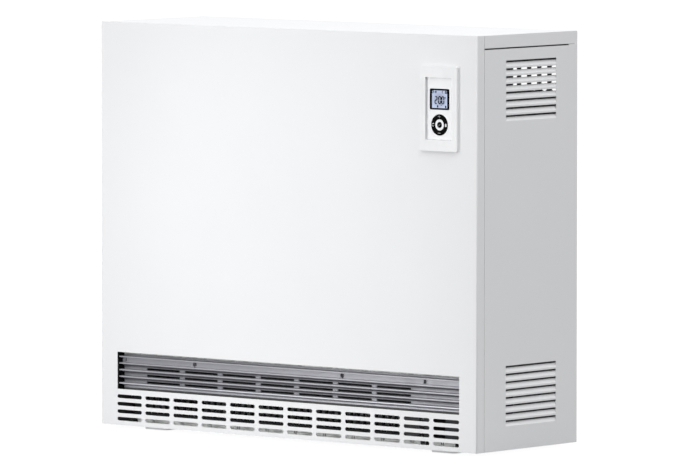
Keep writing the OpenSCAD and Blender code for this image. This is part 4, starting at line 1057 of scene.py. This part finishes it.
class HEATER_OT_keys(bpy.types.Operator):
    """Finish the ring of keys and the OK key, and print their signs"""

    bl_idname = "heater.keys"
    bl_label = "Keys"

    def execute(self, context):
        keys = ("plus", "minus", "mode", "menu", "ok")
        dress(moulded_plastic("Key Plastic", (0.0012, 0.0012, 0.0014, 1), 0.35, 0.0012, 0.000008,
                              shine=0.02), *(f"{key}_key" for key in keys), edge=FINE_EDGE)
        print_white = moulded_plastic("Key Print", (0.66, 0.67, 0.68, 1), 0.4, 0.002, 0.000002)
        print_grey = moulded_plastic("Key Print Grey", (0.16, 0.17, 0.18, 1), 0.4, 0.002, 0.000002)
        lo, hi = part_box("ok_key")
        cx, _, cz = (lo + hi) / 2
        out = 0.0129
        signs = {
            "plus": [stroke((cx - 0.0024, cz + out), (cx + 0.0024, cz + out), 0.0004),
                     stroke((cx, cz + out - 0.0021), (cx, cz + out + 0.0021), 0.00039)],
            "minus": [stroke((cx - 0.0025, cz - out), (cx + 0.0025, cz - out), 0.0004)],
            "mode": [ring_outline(cx - out, cz - 0.0002, 0.0024, 0.0018, 75, 335),
                     [(cx - out + x, cz + z) for x, z in (
                         (0.0002, 0.0010), (0.0026, 0.0012), (0.0013, 0.0030))]],
            "menu": [[(cx + out + x, cz + z) for x, z in (
                (-0.0015, -0.0026), (0.0015, -0.0026), (0.0015, 0.0005), (0.0022, 0.0005),
                (0, 0.0027), (-0.0022, 0.0005), (-0.0015, 0.0005))]],
            "ok": [stroke((cx - 0.0020, cz + 0.0001), (cx - 0.0005, cz - 0.0015), 0.0006),
                   stroke((cx - 0.0007, cz - 0.0014), (cx + 0.0022, cz + 0.0018), 0.00059)],
        }
        proud, step, sunk = 0.00005, 0.00001, 0.00004
        for key, outlines in signs.items():
            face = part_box(f"{key}_key")[0].y
            bm = bmesh.new()
            for index, outline in enumerate(outlines):
                prism(bm, outline, face - proud - index * step, face + sunk)
            new_piece(f"{key}_sign", bm, print_grey if key == "ok" else print_white,
                      body=f"{key}_button")
        return {"FINISHED"}


# ---- Camera, floor and lamps ----


class HEATER_OT_stage(bpy.types.Operator):
    """Set up the camera, a pale floor, a soft room light and the lamps"""

    bl_idname = "heater.stage"
    bl_label = "Stage"

    def execute(self, context):
        scene = context.scene
        settings = scene.heater_stage
        self.place_camera(scene, settings)
        self.lay_floor(scene, settings)
        self.light_room(scene, settings)
        scene.view_settings.view_transform = "Standard"
        return {"FINISHED"}

    def put(self, scene, name, data, place, way):
        """Puts a camera or a lamp in the scene, looking this way."""
        made = bpy.data.objects.new(name, data)
        scene.collection.objects.link(made)
        made.location = place
        made.rotation_mode = "QUATERNION"
        made.rotation_quaternion = way.to_track_quat("-Z", "Y")
        return made

    def place_camera(self, scene, settings):
        """A long lens, nearly level, from the front right."""
        data = bpy.data.cameras.new("Camera")
        data.lens = settings.lens
        data.sensor_width = 36
        data.clip_start, data.clip_end = 0.1, 200
        a, e = settings.azimuth, settings.elevation
        back = Vector((math.sin(a) * math.cos(e), -math.cos(a) * math.cos(e), math.sin(e)))
        scene.camera = self.put(scene, "Camera", data, settings.place, -back)

    def lay_floor(self, scene, settings):
        """A grey floor that the camera alone sees as nearly shadowless white."""
        finish = Finish("Floor", Roughness=0.9, Specular_IOR_Level=0.1)
        colour, reach, glowing = settings.floor_colour, 45, 0.92
        tone = finish.tones(finish.cloud(3, 2), colour, (0.3, 0.99), (0.7, 1))
        seen = finish.node("LightPath").outputs["Is Camera Ray"]
        material = finish.join(Base_Color=finish.mixed(seen, tone, (0.9, 0.9, 0.9, 1)))
        glow = finish.node("Emission", {"Color": (1, 1, 1, 1), "Strength": 1.06})
        both = finish.node("MixShader", {
            0: finish.maths("MULTIPLY", seen, glowing), 1: finish.shader.outputs[0],
            2: glow.outputs[0]})
        output = finish.tree.nodes["Material Output"]
        finish.tree.links.new(both.outputs[0], output.inputs["Surface"])
        bm = bmesh.new()
        bmesh.ops.create_grid(bm, x_segments=8, y_segments=8, size=reach)
        mesh = bpy.data.meshes.new("floor")
        bm.to_mesh(mesh)
        bm.free()
        mesh.materials.append(material)
        floor = bpy.data.objects.new("floor", mesh)
        scene.collection.objects.link(floor)

    def light_room(self, scene, settings):
        """A room that is brighter towards its ceiling and white to the camera, with three lamps."""
        world = bpy.data.worlds.new("Studio")
        scene.world = world
        world.use_nodes = True
        world.node_tree.nodes.clear()
        room = Graph(world.node_tree)
        way = room.node("TexCoord").outputs["Generated"]
        up = room.node("SeparateXYZ", {0: way}).outputs["Z"]
        square = room.maths("MULTIPLY", up, up)
        level = room.maths("MULTIPLY_ADD", square, settings.ceiling, settings.sky)
        soft = room.node("Background", {"Color": (0.985, 0.99, 1, 1), "Strength": level})
        white = room.node("Background", {"Color": (1, 1, 1, 1), "Strength": 1.0})
        path = room.node("LightPath").outputs
        seen = room.maths("MAXIMUM", path["Is Camera Ray"], path["Is Transmission Ray"])
        mixed = room.node("MixShader", {0: seen, 1: soft.outputs[0], 2: white.outputs[0]})
        room.node("OutputWorld", {"Surface": mixed.outputs[0]})
        front = Vector((0, -0.12, 0.33))
        ahead = Vector(settings.low_place) + Vector((0, 0.1, 0.01))
        self.hang_lamp(scene, "Key", settings.key, settings.key_place, (3.2, 3.2), front)
        self.hang_lamp(scene, "Fill", settings.fill, settings.fill_place, (0.3, 0.9), front)
        self.hang_lamp(scene, "Low", settings.low, settings.low_place, (0.95, 0.04), ahead)

    def hang_lamp(self, scene, name, power, place, size, target):
        """A rectangular lamp that faces the target."""
        lamp = bpy.data.lights.new(name, "AREA")
        lamp.shape = "RECTANGLE"
        lamp.size, lamp.size_y = size
        lamp.energy = power
        self.put(scene, name, lamp, place, target - Vector(place))


# ---- Panel and registration ----


STEPS = (
    HEATER_OT_stage, HEATER_OT_casing, HEATER_OT_feet, HEATER_OT_back, HEATER_OT_screws,
    HEATER_OT_grille, HEATER_OT_intake, HEATER_OT_air_duct, HEATER_OT_fan, HEATER_OT_core,
    HEATER_OT_electrics, HEATER_OT_controller, HEATER_OT_display, HEATER_OT_keys,
)
SETTINGS = {
    "heater_casing": HeaterCasingSettings, "heater_grille": HeaterGrilleSettings,
    "heater_core": HeaterCoreSettings, "heater_control": HeaterControlSettings,
    "heater_stage": HeaterStageSettings,
}


class HEATER_PT_steps(bpy.types.Panel):
    """The heater's settings and the steps that dress it"""

    bl_label = "Storage Heater"
    bl_idname = "HEATER_PT_steps"
    bl_space_type = "VIEW_3D"
    bl_region_type = "UI"
    bl_category = "Heater"

    def draw(self, context):
        layout = self.layout
        for name, group in SETTINGS.items():
            box = layout.box()
            box.label(text=name.replace("heater_", "").title())
            for setting in group.__annotations__:
                box.prop(getattr(context.scene, name), setting)
        column = layout.column(align=True)
        for step in STEPS:
            column.operator(step.bl_idname)


CLASSES = (*SETTINGS.values(), *STEPS, HEATER_PT_steps)


def register():
    for made in CLASSES:
        bpy.utils.register_class(made)
    for name, group in SETTINGS.items():
        setattr(bpy.types.Scene, name, PointerProperty(type=group))


def unregister():
    for name in SETTINGS:
        delattr(bpy.types.Scene, name)
    for made in reversed(CLASSES):
        bpy.utils.unregister_class(made)


def main():
    """Registers the add-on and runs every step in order."""
    register()
    bpy.ops.heater.stage()
    bpy.ops.heater.casing()
    bpy.ops.heater.feet()
    bpy.ops.heater.back()
    bpy.ops.heater.screws()
    bpy.ops.heater.grille()
    bpy.ops.heater.intake()
    bpy.ops.heater.air_duct()
    bpy.ops.heater.fan()
    bpy.ops.heater.core()
    bpy.ops.heater.electrics()
    bpy.ops.heater.controller()
    bpy.ops.heater.display()
    bpy.ops.heater.keys()


if __name__ == "__main__":
    main()
